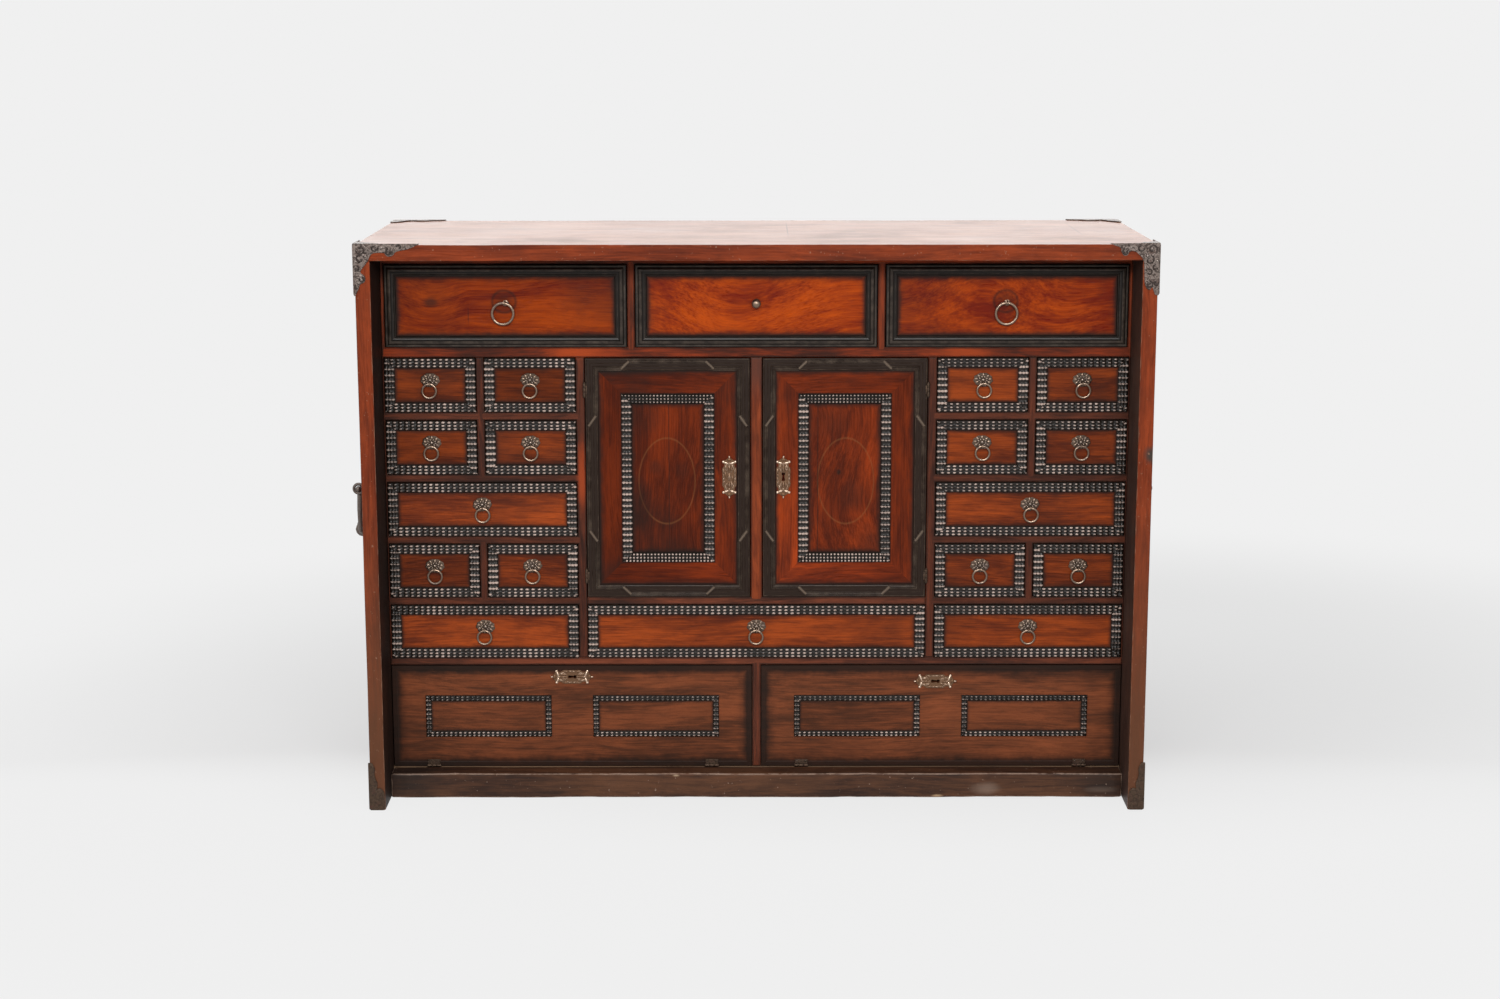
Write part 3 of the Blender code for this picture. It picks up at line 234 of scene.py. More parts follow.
class Finish:
    """A material, or the world's shader, in the making, with helpers that add its nodes."""

    def __init__(self, name, world=None):
        self.material = world or bpy.data.materials.new(f"{name}_finish")
        self.material.use_nodes = True
        self.tree = self.material.node_tree
        self.shader = self.tree.nodes["Background" if world else "Principled BSDF"]

    def put(self, socket, value):
        """Links a wire to a socket or sets its value."""
        if isinstance(value, Wire):
            self.tree.links.new(value.socket, socket)
        elif socket.type == "RGBA":
            socket.default_value = (*value[:3], 1.0)
        else:
            socket.default_value = value

    def node(self, kind, settings=None, values=None, output=0):
        """Adds a node: its settings first, then its sockets by name or number."""
        made = self.tree.nodes.new(kind)
        for name, value in (settings or {}).items():
            setattr(made, name, value)
        for name, value in (values or {}).items():
            self.put(made.inputs[name], value)
        return Wire(self, made.outputs[output])

    def place(self, stretch=(1.0, 1.0, 1.0), shift=(0.0, 0.0, 0.0)):
        """Object coordinates in metres, stretched and shifted."""
        found = self.node("ShaderNodeTexCoord", output="Object")
        return self.node("ShaderNodeMapping", None, {"Vector": found, "Scale": stretch, "Location": shift})

    def coordinate(self, axis):
        """One of the object coordinates in metres."""
        return self.node("ShaderNodeSeparateXYZ", None, {"Vector": self.place()}, output=axis)

    def noise(self, vector, scale, detail=2.0, rough=0.5, distortion=0.0):
        values = {"Vector": vector, "Scale": scale, "Detail": detail}
        values.update({"Roughness": rough, "Distortion": distortion})
        return self.node("ShaderNodeTexNoise", None, values)

    def rings(self, vector, across, profile, scale, distortion, detail_scale, rough):
        """Growth rings: distorted bands across one axis."""
        values = {"Vector": vector, "Scale": scale, "Distortion": distortion}
        values.update({"Detail": 3.0, "Detail Scale": detail_scale, "Detail Roughness": rough})
        settings = {"bands_direction": across, "wave_profile": profile}
        return self.node("ShaderNodeTexWave", settings, values, output="Fac")

    def step(self, value, low, high, start=0.0, end=1.0):
        """A soft step from start to end as the value goes from low to high."""
        values = {"Value": value, "From Min": low, "From Max": high, "To Min": start, "To Max": end}
        return self.node("ShaderNodeMapRange", {"interpolation_type": "SMOOTHSTEP"}, values)

    def length(self, vector):
        """How long a vector is."""
        return self.node("ShaderNodeVectorMath", {"operation": "LENGTH"}, {0: vector}, output="Value")

    def blend(self, share, below, above):
        """Mixes two colours."""
        settings = {"data_type": "RGBA", "clamp_factor": True}
        return self.node("ShaderNodeMix", settings, {0: share, 6: below, 7: above}, output=2)

    def layer(self, name):
        """A number that the mesh carries at its vertices."""
        return self.node("ShaderNodeAttribute", {"attribute_name": name}, output="Fac")

    def bump(self, height, distance, strength=1.0, normal=None):
        values = {"Height": height, "Distance": distance, "Strength": strength}
        if normal:
            values["Normal"] = normal
        return self.node("ShaderNodeBump", None, values)

    def seen(self):
        """1 for the rays that look at the backdrop, 0 for those that light the cabinet."""
        glossy, camera, through = (
            self.node("ShaderNodeLightPath", output=f"Is {kind} Ray")
            for kind in ("Glossy", "Camera", "Transmission")
        )
        return glossy.above(camera).above(through)

    def spread(self, share, below, above, output):
        """Mixes two shaders into the tree's output."""
        mix = self.node("ShaderNodeMixShader", None, {0: share, 1: below, 2: above})
        self.tree.links.new(mix.socket, self.tree.nodes[output].inputs["Surface"])

    def done(self, colour, roughness, normal=None, metallic=None, gloss=0.5):
        """Ends a finish: what its shader gets."""
        self.put(self.shader.inputs["Base Color"], colour)
        self.put(self.shader.inputs["Roughness"], roughness)
        if normal:
            self.put(self.shader.inputs["Normal"], normal)
        if metallic is not None:
            self.put(self.shader.inputs["Metallic"], metallic)
        self.shader.inputs["Specular IOR Level"].default_value = gloss


# How a wood's figure and its fibres are squeezed across each grain direction
STRETCH = {"X": (1.0, 6.0, 6.0), "Y": (6.0, 1.0, 6.0), "Z": (6.0, 6.0, 1.0)}
FIBRE = {"X": (1.0, 34.0, 34.0), "Y": (34.0, 1.0, 34.0), "Z": (34.0, 34.0, 1.0)}
# Dark colour of grime; it is also the painted shade in creases, along mouldings and along frame edges
GRIME_AND_SHADE = (0.014, 0.0095, 0.0075)


def wood(
    name, light, deep, along, polish=0.32, gloss=0.08, figure=1.0, shift=0.0, wear_and_highlight=(0.30, 0.17, 0.11),
    bend=0.03, lines=0.30, knots=(), marks=(), foot=None, chips=0.0, clouds=0.55,
):
    """Waxed wood along one axis, with grime and painted shade in its corners, and worn edges.

    Knots push the grain aside: a centre, a radius and how far. Marks tint an ellipsoid or, where
    hollow, its outline. The foot is a colour that fades out from one height to another, and its share.
    """
    made = Finish(name)
    spot = made.place(shift=(shift, shift, shift))
    sway = (made.noise(spot, 4.0, 1.0, 0.4) - 0.5) * bend
    for centre, radius, push in knots:
        values = {0: made.place(), 1: centre}
        away = made.node("ShaderNodeVectorMath", {"operation": "DISTANCE"}, values, output="Value")
        sway = sway + made.step(away, 0.0, radius, push, 0.0)
    aside = made.node("ShaderNodeCombineXYZ", None, {"X": sway, "Y": sway, "Z": sway})
    bent = made.node("ShaderNodeVectorMath", {"operation": "ADD"}, {0: spot, 1: aside})
    flow = made.node("ShaderNodeMapping", None, {"Vector": bent, "Scale": STRETCH[along]})
    thread = made.node("ShaderNodeMapping", None, {"Vector": bent, "Scale": FIBRE[along]})
    broad = made.noise(flow, 5.0 * figure, 3.0, 0.55, 0.3)
    streak = made.noise(flow, 26.0 * figure, 3.0, 0.6, 0.5)
    fibre = made.noise(thread, 15.0, 3.0, 0.6)
    rings = made.rings(flow, {"X": "Z", "Y": "X", "Z": "X"}[along], "SAW", 6.0 * figure, 7.0, 0.5, 0.65)
    vein = made.step(rings, 0.0, 0.18, 1.0, 0.0)
    value = made.step(broad * 0.50 + streak * 0.30 + fibre * 0.26, 0.38, 0.70)
    colour = made.blend(value, deep, light)
    dark = made.blend(0.65, colour, (0.0, 0.0, 0.0))
    colour = made.blend(vein * lines, colour, dark)
    pores = made.step(made.noise(thread, 60.0, 1.0, 0.5), 0.58, 0.72)
    colour = made.blend(pores * 0.45, colour, dark)
    if foot:
        tint, low, high, share = foot
        colour = made.blend(made.step(made.coordinate("Z"), low, high, share, 0.0), colour, tint)
    tone = made.layer("tone")
    colour = made.node("ShaderNodeVectorMath", {"operation": "SCALE"}, {0: colour, "Scale": tone + 1.0})
    smoke = made.noise(spot, 7.0, 3.0, 0.6)
    colour = made.blend(made.step(smoke, 0.50, 0.78, 0.0, clouds), colour, made.blend(0.7, colour, GRIME_AND_SHADE))
    patch = made.noise(spot, 60.0, 2.0, 0.6)
    for centre, size, share, hollow, tint in marks:
        scale = tuple(1.0 / length for length in size)
        local = made.place(scale, tuple(-place * part for place, part in zip(centre, scale)))
        away = made.length(local)
        if hollow:
            there = made.step(abs(away - 1.0), 0.0, hollow, share, 0.0)
        else:
            there = made.step(away + (patch - 0.5) * 0.4, 0.25, 1.1, share, 0.0)
        colour = made.blend(there, colour, tint)
    if chips:
        speck = made.step(made.noise(spot, 210.0, 2.0, 0.6), 0.69, 0.73, 0.0, chips)
        colour = made.blend(speck, colour, wear_and_highlight)
    # The vertex layer of grime darkens the wood: real grime, and painted shade next to mouldings and along
    # frame edges
    dirt_and_shade = made.step(made.layer("grime_and_shade") + (patch - 0.5) * 0.5, 0.15, 0.95)
    grimed_and_shaded = made.blend(dirt_and_shade * 0.92, colour, GRIME_AND_SHADE)
    rubbed_and_lit = made.step(made.layer("wear_and_highlight") * 0.9 + (patch - 0.5) * 1.6, 0.50, 1.0)
    final = made.blend(rubbed_and_lit * 0.6, grimed_and_shaded, wear_and_highlight)
    uneven = made.noise(spot, 16.0, 2.0, 0.5)
    surface = made.bump(uneven, 0.0010, 0.25)
    surface = made.bump(fibre - pores * 0.8, 0.00010, 0.5, surface)
    roughness = polish + (fibre - 0.5) * 0.18 + (smoke - 0.5) * 0.16 + rubbed_and_lit * 0.2 + dirt_and_shade * 0.12
    made.done(final, roughness, surface, gloss=gloss)


def ebonised(name, colour, gloss, rough, pale, low, high, wander):
    """Black-stained pearwood, pale where its wear and painted highlight, give or take a wander, goes from low
    to high.
    """
    made = Finish(name)
    spot = made.place()
    patch = made.noise(spot, 70.0, 4.0, 0.7)
    thread = made.noise(spot, 900.0, 2.0, 0.5)
    # Painted highlights with some wear: the pale colour goes on ridges and crests
    rubbed_and_lit = made.step(made.layer("wear_and_highlight") + (patch - 0.5) * wander, low, high)
    dust = made.step(made.layer("grime_and_shade") + (patch - 0.5) * 0.6, 0.2, 1.0)
    base = made.blend(dust * 0.3, colour, (0.018, 0.012, 0.009))
    base = made.blend(rubbed_and_lit * 0.85, base, pale)
    surface = made.bump(thread, 0.00006, 0.5)
    roughness = rough + (patch - 0.5) * 0.18 + dust * 0.2
    made.done(base, roughness, surface, gloss=gloss)


def forged(name, iron, rust, roughness, chased=0.0):
    """Forged iron with hammer marks, punched lines and thin rust."""
    made = Finish(name)
    spot = made.place()
    patch = made.noise(spot, 120.0, 4.0, 0.65)
    fine = made.noise(spot, 1400.0, 2.0, 0.5)
    cells = {"Vector": spot, "Scale": 260.0}
    hammer = made.node("ShaderNodeTexVoronoi", {"feature": "SMOOTH_F1"}, cells, output="Distance")
    rusty = made.step(patch, 0.50, 0.68)
    bare = made.step(made.layer("wear_and_highlight") + (patch - 0.5), 0.4, 1.0)
    base = made.blend(rusty * 0.7, iron, rust)
    base = made.blend(bare * 0.5, base, (0.22, 0.19, 0.17))
    swirl = made.noise(spot, 135.0, 1.0, 0.4, 1.6)
    cut = made.step(abs(swirl - 0.5), 0.015, 0.085, chased, 0.0)
    # The vertex layer of grime darkens the iron: grime in its hollows, and the painted shadow under the
    # chased curls
    base = made.blend(made.layer("grime_and_shade") * 0.8, base, (0.012, 0.009, 0.008))
    base = made.blend(cut, base, (0.026, 0.018, 0.015))
    surface = made.bump(hammer - cut * 0.8, 0.0006, 0.5)
    surface = made.bump(fine, 0.00006, 0.5, surface)
    shine = roughness + rusty * 0.25 + (fine - 0.5) * 0.1 - bare * 0.12
    made.done(base, shine, surface, metallic=0.9 - rusty * 0.35)


def gilt(name, brass, tarnish):
    """Cast brass, bright on its high parts and brown in its hollows."""
    made = Finish(name)
    spot = made.place()
    patch = made.noise(spot, 420.0, 3.0, 0.6)
    bright = made.step(made.layer("wear_and_highlight") + (patch - 0.5) * 0.9, 0.30, 1.10)
    base = made.blend(bright, tarnish, brass)
    surface = made.bump(patch, 0.0003, 0.5)
    made.done(base, 0.48 - bright * 0.18, surface, metallic=0.75 + bright * 0.2)


def lining_wood(name, colour, along, dark=0.6, seams=()):
    """Plain unpolished wood of drawer sides, bottoms and the back, with dark seams at some heights."""
    made = Finish(name)
    flow = made.place(STRETCH[along])
    broad = made.noise(flow, 3.0, 2.0, 0.5, 0.5)
    rings = made.rings(flow, "Z", "SIN", 0.55, 11.0, 0.9, 0.6)
    fibre = made.noise(made.place(FIBRE[along]), 24.0, 3.0, 0.6)
    deep = tuple(c * dark for c in colour)
    base = made.blend(made.step(broad * 0.4 + rings * 0.35 + fibre * 0.3, 0.3, 0.8), deep, colour)
    smoke = made.noise(made.place(), 9.0, 3.0, 0.6)
    base = made.blend(made.step(smoke, 0.5, 0.8, 0.0, 0.5), base, tuple(c * 0.35 for c in colour))
    base = made.blend(made.layer("grime_and_shade") * 0.9, base, (0.03, 0.018, 0.011))
    height = made.coordinate("Z")
    for seam in seams:
        there = made.step(abs(height - seam), 0.0004, 0.0014, 0.9, 0.0)
        base = made.blend(there, base, (0.012, 0.008, 0.006))
    surface = made.bump(fibre, 0.00025, 0.5)
    made.done(base, 0.62 + (fibre - 0.5) * 0.2, surface)


class Work:
    """One piece in the making: a bmesh, the numbers at its vertices and its finishes."""

    def __init__(self, *finishes):
        self.bm = bmesh.new()
        self.layers = {name: self.bm.verts.layers.float.new(name) for name in ("grime_and_shade", "tone", "wear_and_highlight")}
        self.finishes = finishes

    def mark(self, geometry, name, value):
        for item in geometry:
            for vert in [item] if isinstance(item, bmesh.types.BMVert) else item.verts:
                vert[self.layers[name]] = value

    def paint(self, faces, finish):
        for face in faces:
            face.material_index = finish

    def faces_of(self, verts):
        """The faces at some vertices, each once and always in the same order."""
        return list(dict.fromkeys(face for vert in verts for face in vert.link_faces))

    def edges_of(self, verts):
        """The edges at some vertices, each once and always in the same order."""
        return list(dict.fromkeys(edge for vert in verts for edge in vert.link_edges))

    def box(self, low, high, finish=0, soft=0.0):
        """A box between two corners, its edges rounded by a soft radius."""
        low, high = Vector(low), Vector(high)
        place = Matrix.Translation((low + high) / 2) @ Matrix.Diagonal((*(high - low), 1.0))
        verts = bmesh.ops.create_cube(self.bm, size=1.0, matrix=place)["verts"]
        faces = self.faces_of(verts)
        self.paint(faces, finish)
        if soft:
            self.soften(self.edges_of(verts), soft)
            faces = [face for face in faces if face.is_valid]
        return faces

    def soften(self, edges, offset, segments=2, wear_and_highlight=0.0):
        """Rounds edges and marks the middle of the rounding as worn."""
        made = bmesh.ops.bevel(
            self.bm, geom=edges, offset=offset, segments=segments, profile=0.5, affect="EDGES", material=-1
        )
        rounding = set(made["faces"])
        self.mark([v for v in made["verts"] if rounding.issuperset(v.link_faces)], "wear_and_highlight", wear_and_highlight)

    def facing(self, faces, direction):
        """The face that lies furthest towards a direction."""
        aim = Vector(direction)
        return max(faces, key=lambda f: f.calc_center_median().dot(aim) + f.normal.dot(aim))

    def inset(self, face, across, up=0.0):
        """Insets one face and returns the ring of new faces."""
        made = bmesh.ops.inset_region(self.bm, faces=[face], thickness=across, depth=up, use_even_offset=True)
        return made["faces"]

    def field_grime_and_shade(self, face, tiers):
        """Darkens a face towards its border by grime and painted shade: each tier is a width and the darkness
        where it ends.
        """
        self.mark([face], "grime_and_shade", 1.0)
        for across, dirt_and_shade in tiers:
            self.inset(face, across)
            self.mark([face], "grime_and_shade", dirt_and_shade)

    def profile(self, face, steps, wear_and_sheen):
        """Raises a moulding on a face: each step is a width and a rise; the last argument gives the wear and
        painted highlight at a height.
        """
        height = 0.0
        for across, up in steps:
            self.inset(face, across, up)
            height += up
            self.mark([face], "wear_and_highlight", wear_and_sheen(height))
        self.mark([face], "wear_and_highlight", 0.0)

    def ball(self, centre, size, turn=Matrix.Identity(4), steps=(10, 7), wear_and_highlight=0.0):
        """An ellipsoid of three half sizes."""
        place = Matrix.Translation(centre) @ turn @ Matrix.Diagonal((*size, 1.0))
        verts = bmesh.ops.create_uvsphere(
            self.bm, u_segments=steps[0], v_segments=steps[1], radius=1.0, matrix=place
        )["verts"]
        self.mark(verts, "wear_and_highlight", wear_and_highlight)

    def rod(self, start, end, radius, steps=12, tip=None, soft=0.0):
        """A round rod between two points, its far end of a tip radius."""
        start, end = Vector(start), Vector(end)
        along = end - start
        turn = along.to_track_quat("Z", "Y").to_matrix().to_4x4()
        made = bmesh.ops.create_cone(
            self.bm, cap_ends=True, segments=steps, radius1=radius, radius2=radius if tip is None else tip,
            depth=along.length, matrix=Matrix.Translation((start + end) / 2) @ turn,
        )
        faces = self.faces_of(made["verts"])
        if soft:
            rims = dict.fromkeys(edge for face in faces if len(face.verts) == steps for edge in face.edges)
            self.soften(list(rims), soft)

    def spin(self, geometry, centre, axis, steps):
        """Spins an outline all the way round an axis and returns the new faces."""
        before = set(self.bm.faces)
        bmesh.ops.spin(
            self.bm, geom=geometry, cent=centre, axis=axis, angle=math.tau, steps=steps, use_merge=True
        )
        return [face for face in self.bm.faces if face not in before]

    def hoop(self, centre, axis, radius, wire, steps=32, wire_steps=10, wear_and_highlight=0.0):
        """A closed ring of round wire."""
        centre, axis = Vector(centre), Vector(axis)
        out = axis.orthogonal().normalized()
        turn = Matrix((out, axis, out.cross(axis))).transposed().to_4x4()
        place = Matrix.Translation(centre + out * radius) @ turn
        start = bmesh.ops.create_circle(self.bm, segments=wire_steps, radius=wire, matrix=place)["verts"]
        self.mark(self.spin(start + self.edges_of(start), centre, axis, steps), "wear_and_highlight", wear_and_highlight)

    def turned(self, foot, axis, profile, steps=24):
        """A turned shape: radius and height pairs from its tip to its foot, spun about an axis."""
        foot, axis = Vector(foot), Vector(axis)
        side = axis.orthogonal().normalized()
        verts = [self.bm.verts.new(foot + axis * height + side * radius) for radius, height in profile]
        edges = [self.bm.edges.new(pair) for pair in zip(verts, verts[1:])]
        faces = self.spin(verts + edges, foot, axis, steps)
        points = dict.fromkeys(vert for face in faces for vert in face.verts)
        bmesh.ops.remove_doubles(self.bm, verts=list(points), dist=SUNK / 10)

    def add(self, mesh, matrix=Matrix.Identity(4), finish=0):
        """Adds a mesh at a place and returns its faces."""
        copy = mesh.copy()
        copy.transform(matrix)
        before = set(self.bm.faces)
        self.bm.from_mesh(copy)
        bpy.data.meshes.remove(copy)
        faces = [face for face in self.bm.faces if face not in before]
        self.paint(faces, finish)
        return faces

    def mesh(self, name):
        """The work so far as a mesh, for use in several pieces."""
        bmesh.ops.recalc_face_normals(self.bm, faces=self.bm.faces)
        made = bpy.data.meshes.new(name)
        self.bm.to_mesh(made)
        self.bm.free()
        return made

    def piece(self, name, body, slot, replaced=(), angle=35.0):
        """Ends the work: a named object that rides on a body."""
        mesh = self.mesh(name)
        for finish in self.finishes:
            mesh.materials.append(bpy.data.materials[f"{finish}_finish"])
        mesh.shade_smooth()
        mesh.set_sharp_from_angle(angle=math.radians(angle))
        for face in mesh.polygons:
            face.use_smooth = face.area < SMALL_FACE
        made = bpy.data.objects.new(name, mesh)
        bpy.context.scene.collection.objects.link(made)
        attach(made, body)
        if replaced:
            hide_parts(*replaced)
        return made


def temporary(name, data):
    """A scene object that is used and removed again."""
    made = bpy.data.objects.new(name, data)
    bpy.context.scene.collection.objects.link(made)
    return made


def drawn_mesh(curve, matrix=Matrix.Identity(4)):
    """A curve made a mesh, its doubles merged, at a place."""
    made = temporary("drawn", curve)
    bpy.context.view_layer.update()
    mesh = bpy.data.meshes.new_from_object(made.evaluated_get(bpy.context.evaluated_depsgraph_get()))
    bpy.data.objects.remove(made)
    bpy.data.curves.remove(curve)
    mesh.transform(matrix)
    bm = bmesh.new()
    bm.from_mesh(mesh)
    bmesh.ops.remove_doubles(bm, verts=bm.verts, dist=SUNK / 20)
    bmesh.ops.recalc_face_normals(bm, faces=bm.faces)
    bm.to_mesh(mesh)
    bm.free()
    return mesh


def plate_mesh(loops, thickness, matrix, rim=0.0):
    """Closed outlines in a plane filled and given a thickness with rounded rims."""
    curve = bpy.data.curves.new("plate", "CURVE")
    curve.dimensions = "2D"
    curve.fill_mode = "BOTH"
    curve.extrude = thickness / 2 - rim
    curve.bevel_depth = rim
    curve.bevel_resolution = 1
    curve.offset = -rim
    for loop in loops:
        spline = curve.splines.new("POLY")
        spline.points.add(len(loop) - 1)
        for point, (x, y) in zip(spline.points, loop):
            point.co = (x, y, 0.0, 1.0)
        spline.use_cyclic_u = True
    return drawn_mesh(curve, matrix)


def tube_mesh(points, radii, matrix=Matrix.Identity(4), closed=False, sides=2):
    """A round bar along points, with a radius at each."""
    curve = bpy.data.curves.new("tube", "CURVE")
    curve.dimensions = "3D"
    curve.bevel_depth = 1.0
    curve.bevel_resolution = sides
    curve.use_fill_caps = not closed
    spline = curve.splines.new("POLY")
    spline.points.add(len(points) - 1)
    for point, place, radius in zip(spline.points, points, radii):
        point.co = (*place, 1.0)
        point.radius = radius
    spline.use_cyclic_u = closed
    return drawn_mesh(curve, matrix)


def cut_corners(loop, reach=0.0022):
    """Rounds the corners of a closed outline by cutting them, at most a reach from each."""
    cut = []
    for (x, y), (next_x, next_y) in zip(loop, loop[1:] + loop[:1]):
        across, up = next_x - x, next_y - y
        share = min(0.25, reach / math.hypot(across, up))
        cut += [(x + across * share, y + up * share), (next_x - across * share, next_y - up * share)]
    return cut


# The lengths of a ripple frame whose painted highlights can be dimmed, as numbers of its turns from the foot
RIGHT_LENGTH, HEAD_LENGTH, LEFT_LENGTH = 1, 2, 3
THINNEST_RIPPLE = 0.0006
FACE = Matrix.Rotation(math.pi / 2, 4, "X")  # a drawn outline's X and Y become world X and Z


def ripple_length(length, width, rise, pitch, reeds, phase, upright, highlight_share):
    """One mitred length of ripple moulding, along X with its outer edge on Y = 0 and its height on Z."""
    sizes = bpy.context.scene.cabinet_mouldings
    bm = bmesh.new()
    wear_and_highlight = bm.verts.layers.float.new("wear_and_highlight")
    grime_and_shade = bm.verts.layers.float.new("grime_and_shade")
    waves = max(2, round(length / pitch))
    bmesh.ops.create_grid(bm, x_segments=waves * sizes.stations, y_segments=reeds * 4, size=0.5)
    for vert in bm.verts:
        along, share = vert.co.x + 0.5, vert.co.y + 0.5
        crown = math.sin(math.pi * min(1.0, 0.14 + 0.78 * share)) ** 0.5
        ridge = abs(math.sin(math.pi * reeds * share)) ** 0.55
        crest = abs(math.cos(math.pi * along * waves + phase)) ** 0.5
        sag = sizes.wave * (1.0 - crest) * (1.0 + 0.16 * noise.noise((along * length * 28.0, phase, share)))
        height = (rise - sizes.reed) * crown + sizes.reed * ridge - sag * (0.5 + 0.5 * ridge)
        vert.co = (along * length - length / 2, share * width, max(height, THINNEST_RIPPLE))
        # Painted highlights: the wave crests are marked pale, as bars on the upright lengths and as dashes on
        # the lying ones
        rubbed_and_lit = (0.76 + 0.24 * ridge) * crest ** 6.0 if upright else ridge ** 2.2 * crest ** 2.0
        vert[wear_and_highlight] = rubbed_and_lit * highlight_share * (1.0 + 0.30 * noise.noise((along * length * 22.0, 5.0, phase)))
        vert[grime_and_shade] = 1.0 - ridge * crest
    for end in (-1, 1):
        whole = bm.verts[:] + bm.edges[:] + bm.faces[:]
        corner = (end * (length / 2 - SUNK / 2), 0.0, 0.0)
        bmesh.ops.bisect_plane(bm, geom=whole, plane_co=corner, plane_no=(end, 1.0, 0.0), clear_outer=True)
    rim = [edge for edge in bm.edges if edge.is_boundary]
    made = bmesh.ops.extrude_edge_only(bm, edges=rim)["geom"]
    for vert in (item for item in made if isinstance(item, bmesh.types.BMVert)):
        vert.co.z = -SUNK
    bmesh.ops.holes_fill(bm, edges=[edge for edge in bm.edges if edge.is_boundary], sides=0)
    bmesh.ops.recalc_face_normals(bm, faces=bm.faces)
    mesh = bpy.data.meshes.new("ripple")
    bm.to_mesh(mesh)
    bm.free()
    return mesh


def ripple_frame(
    work, low, high, plane, finish, seed, band=None, rise=None, reeds=None, pitches=None, highlight_shares=(1.0,) * 4,
):
    """Ripple mouldings inside a rectangle's border, each length with painted crest highlights as strong as
    its share.
    """
    sizes = bpy.context.scene.cabinet_mouldings
    band, rise, reeds = band or sizes.band, rise or sizes.rise, reeds or sizes.reeds
    pitches = pitches or (sizes.pitch, sizes.pitch)
    chance = random.Random(seed)
    (left, foot), (right, head) = low, high
    centre = Vector(((left + right) / 2, plane, (foot + head) / 2))
    spans = (right - left, head - foot)
    for turn in range(4):
        upright = turn % 2
        pitch = pitches[upright] * chance.uniform(0.97, 1.03)
        phase = math.pi * chance.randrange(sizes.stations) / sizes.stations
        mesh = ripple_length(spans[upright], band, rise, pitch, reeds, phase, upright, highlight_shares[turn])
        matrix = Matrix.Translation(centre) @ Matrix.Rotation(-turn * math.pi / 2, 4, "Y")
        work.add(mesh, matrix @ FACE @ Matrix.Translation((0.0, -spans[1 - upright] / 2, 0.0)), finish)
        bpy.data.meshes.remove(mesh)


def slab(work, low, high, cuts, soft, wander, seed, wear_and_highlight=0.8):
    """A board with enough cross sections along its long side for its edges to wander."""
    noise.seed_set(1)
    faces = work.box(low, high)
    size = high - low
    long_axis = max(range(3), key=lambda i: size[i])
    edges = dict.fromkeys(edge for face in faces for edge in face.edges)
    along = [e for e in edges if abs((e.verts[0].co - e.verts[1].co)[long_axis]) > size[long_axis] / 2]
    bmesh.ops.subdivide_edges(work.bm, edges=along, cuts=cuts, use_grid_fill=True)
    sharp = [
        edge for edge in work.bm.edges
        if len(edge.link_faces) == 2 and edge.link_faces[0].normal.dot(edge.link_faces[1].normal) < 0.5
    ]
    work.soften(sharp, soft, 3, wear_and_highlight)
    for vert in work.bm.verts:
        moved = vert.co + noise.noise_vector(vert.co * 9.0 + Vector((seed, 0.0, seed))) * wander
        vert.co = [min(max(moved[i], low[i]), high[i]) for i in range(3)]


def mark_at(centre, size, share, hollow=0.0, tint=GRIME_AND_SHADE):
    """A mark on a wood: its middle, half sizes, strength, a hollow one's width and its tint."""
    return centre, size, share, hollow, tint


def case_woods(woods):
    """Makes the woods of the outer boards and the plinth rail."""
    seams = [
        mark_at((x, y, CASE_HEAD), size, share)
        for x, y, size, share in (
            (-0.014, -0.0906, (0.030, 0.0014, 0.01), 0.75), (-0.485, -0.0955, (0.038, 0.0014, 0.01), 0.6),
            (0.051, 0.045, (0.0012, 0.15, 0.01), 0.5), (0.470, 0.045, (0.0012, 0.15, 0.01), 0.5),
        )
    ]
    # The top face's pale pink is partly painted sheen: the glare of light on the polished top
    wood("top_walnut_and_sheen", (0.42, 0.190, 0.110), (0.27, 0.112, 0.066), "X", 0.40, 0.5, marks=seams, chips=0.3)
    case = (woods.case_light, woods.case_deep)
    wood("case_walnut_across", *case, "X", woods.polish, chips=0.55)
    stain = mark_at((0.5545, CASE_FRONT, 0.5130), (0.0135, 0.03, 0.0150), 1.0, tint=(0.050, 0.038, 0.032))
    foot = ((0.110, 0.050, 0.026), 0.05, 0.52, 0.85)
    wood("case_walnut_upright", *case, "Z", woods.polish, shift=3.1, foot=foot, marks=[stain], chips=0.55)
    # Near-black wood of the case's inner walls: a dark stain together with painted shade of the recess
    wood("case_walnut_stained_and_shaded", (0.026, 0.013, 0.009), (0.010, 0.006, 0.005), "Z", 0.5, 0.10, shift=1.7)
    pale = (0.30, 0.21, 0.16)
    scuffs = [
        mark_at((x, CASE_FRONT, z), (wide, 0.2, tall), share, tint=tint)
        for x, z, wide, tall, share, tint in (
            (0.3376, 0.0141, 0.026, 0.012, 0.42, pale),
            (0.2668, 0.0035, 0.010, 0.0028, 0.9, (0.40, 0.26, 0.15)),
            (-0.1108, 0.0340, 0.006, 0.0020, 0.9, (0.40, 0.28, 0.18)),
            (0.5040, 0.0128, 0.030, 0.006, 0.4, pale),
            (-0.50, 0.03, 0.06, 0.05, 0.7, GRIME_AND_SHADE), (0.51, 0.03, 0.06, 0.05, 0.6, GRIME_AND_SHADE),
        )
    ]
    wood(
        "rail_walnut", (0.110, 0.045, 0.021), (0.024, 0.010, 0.006), "X", 0.5, 0.2, 0.9, 5.2,
        wear_and_highlight=(0.36, 0.25, 0.19), marks=scuffs, chips=0.7,
    )


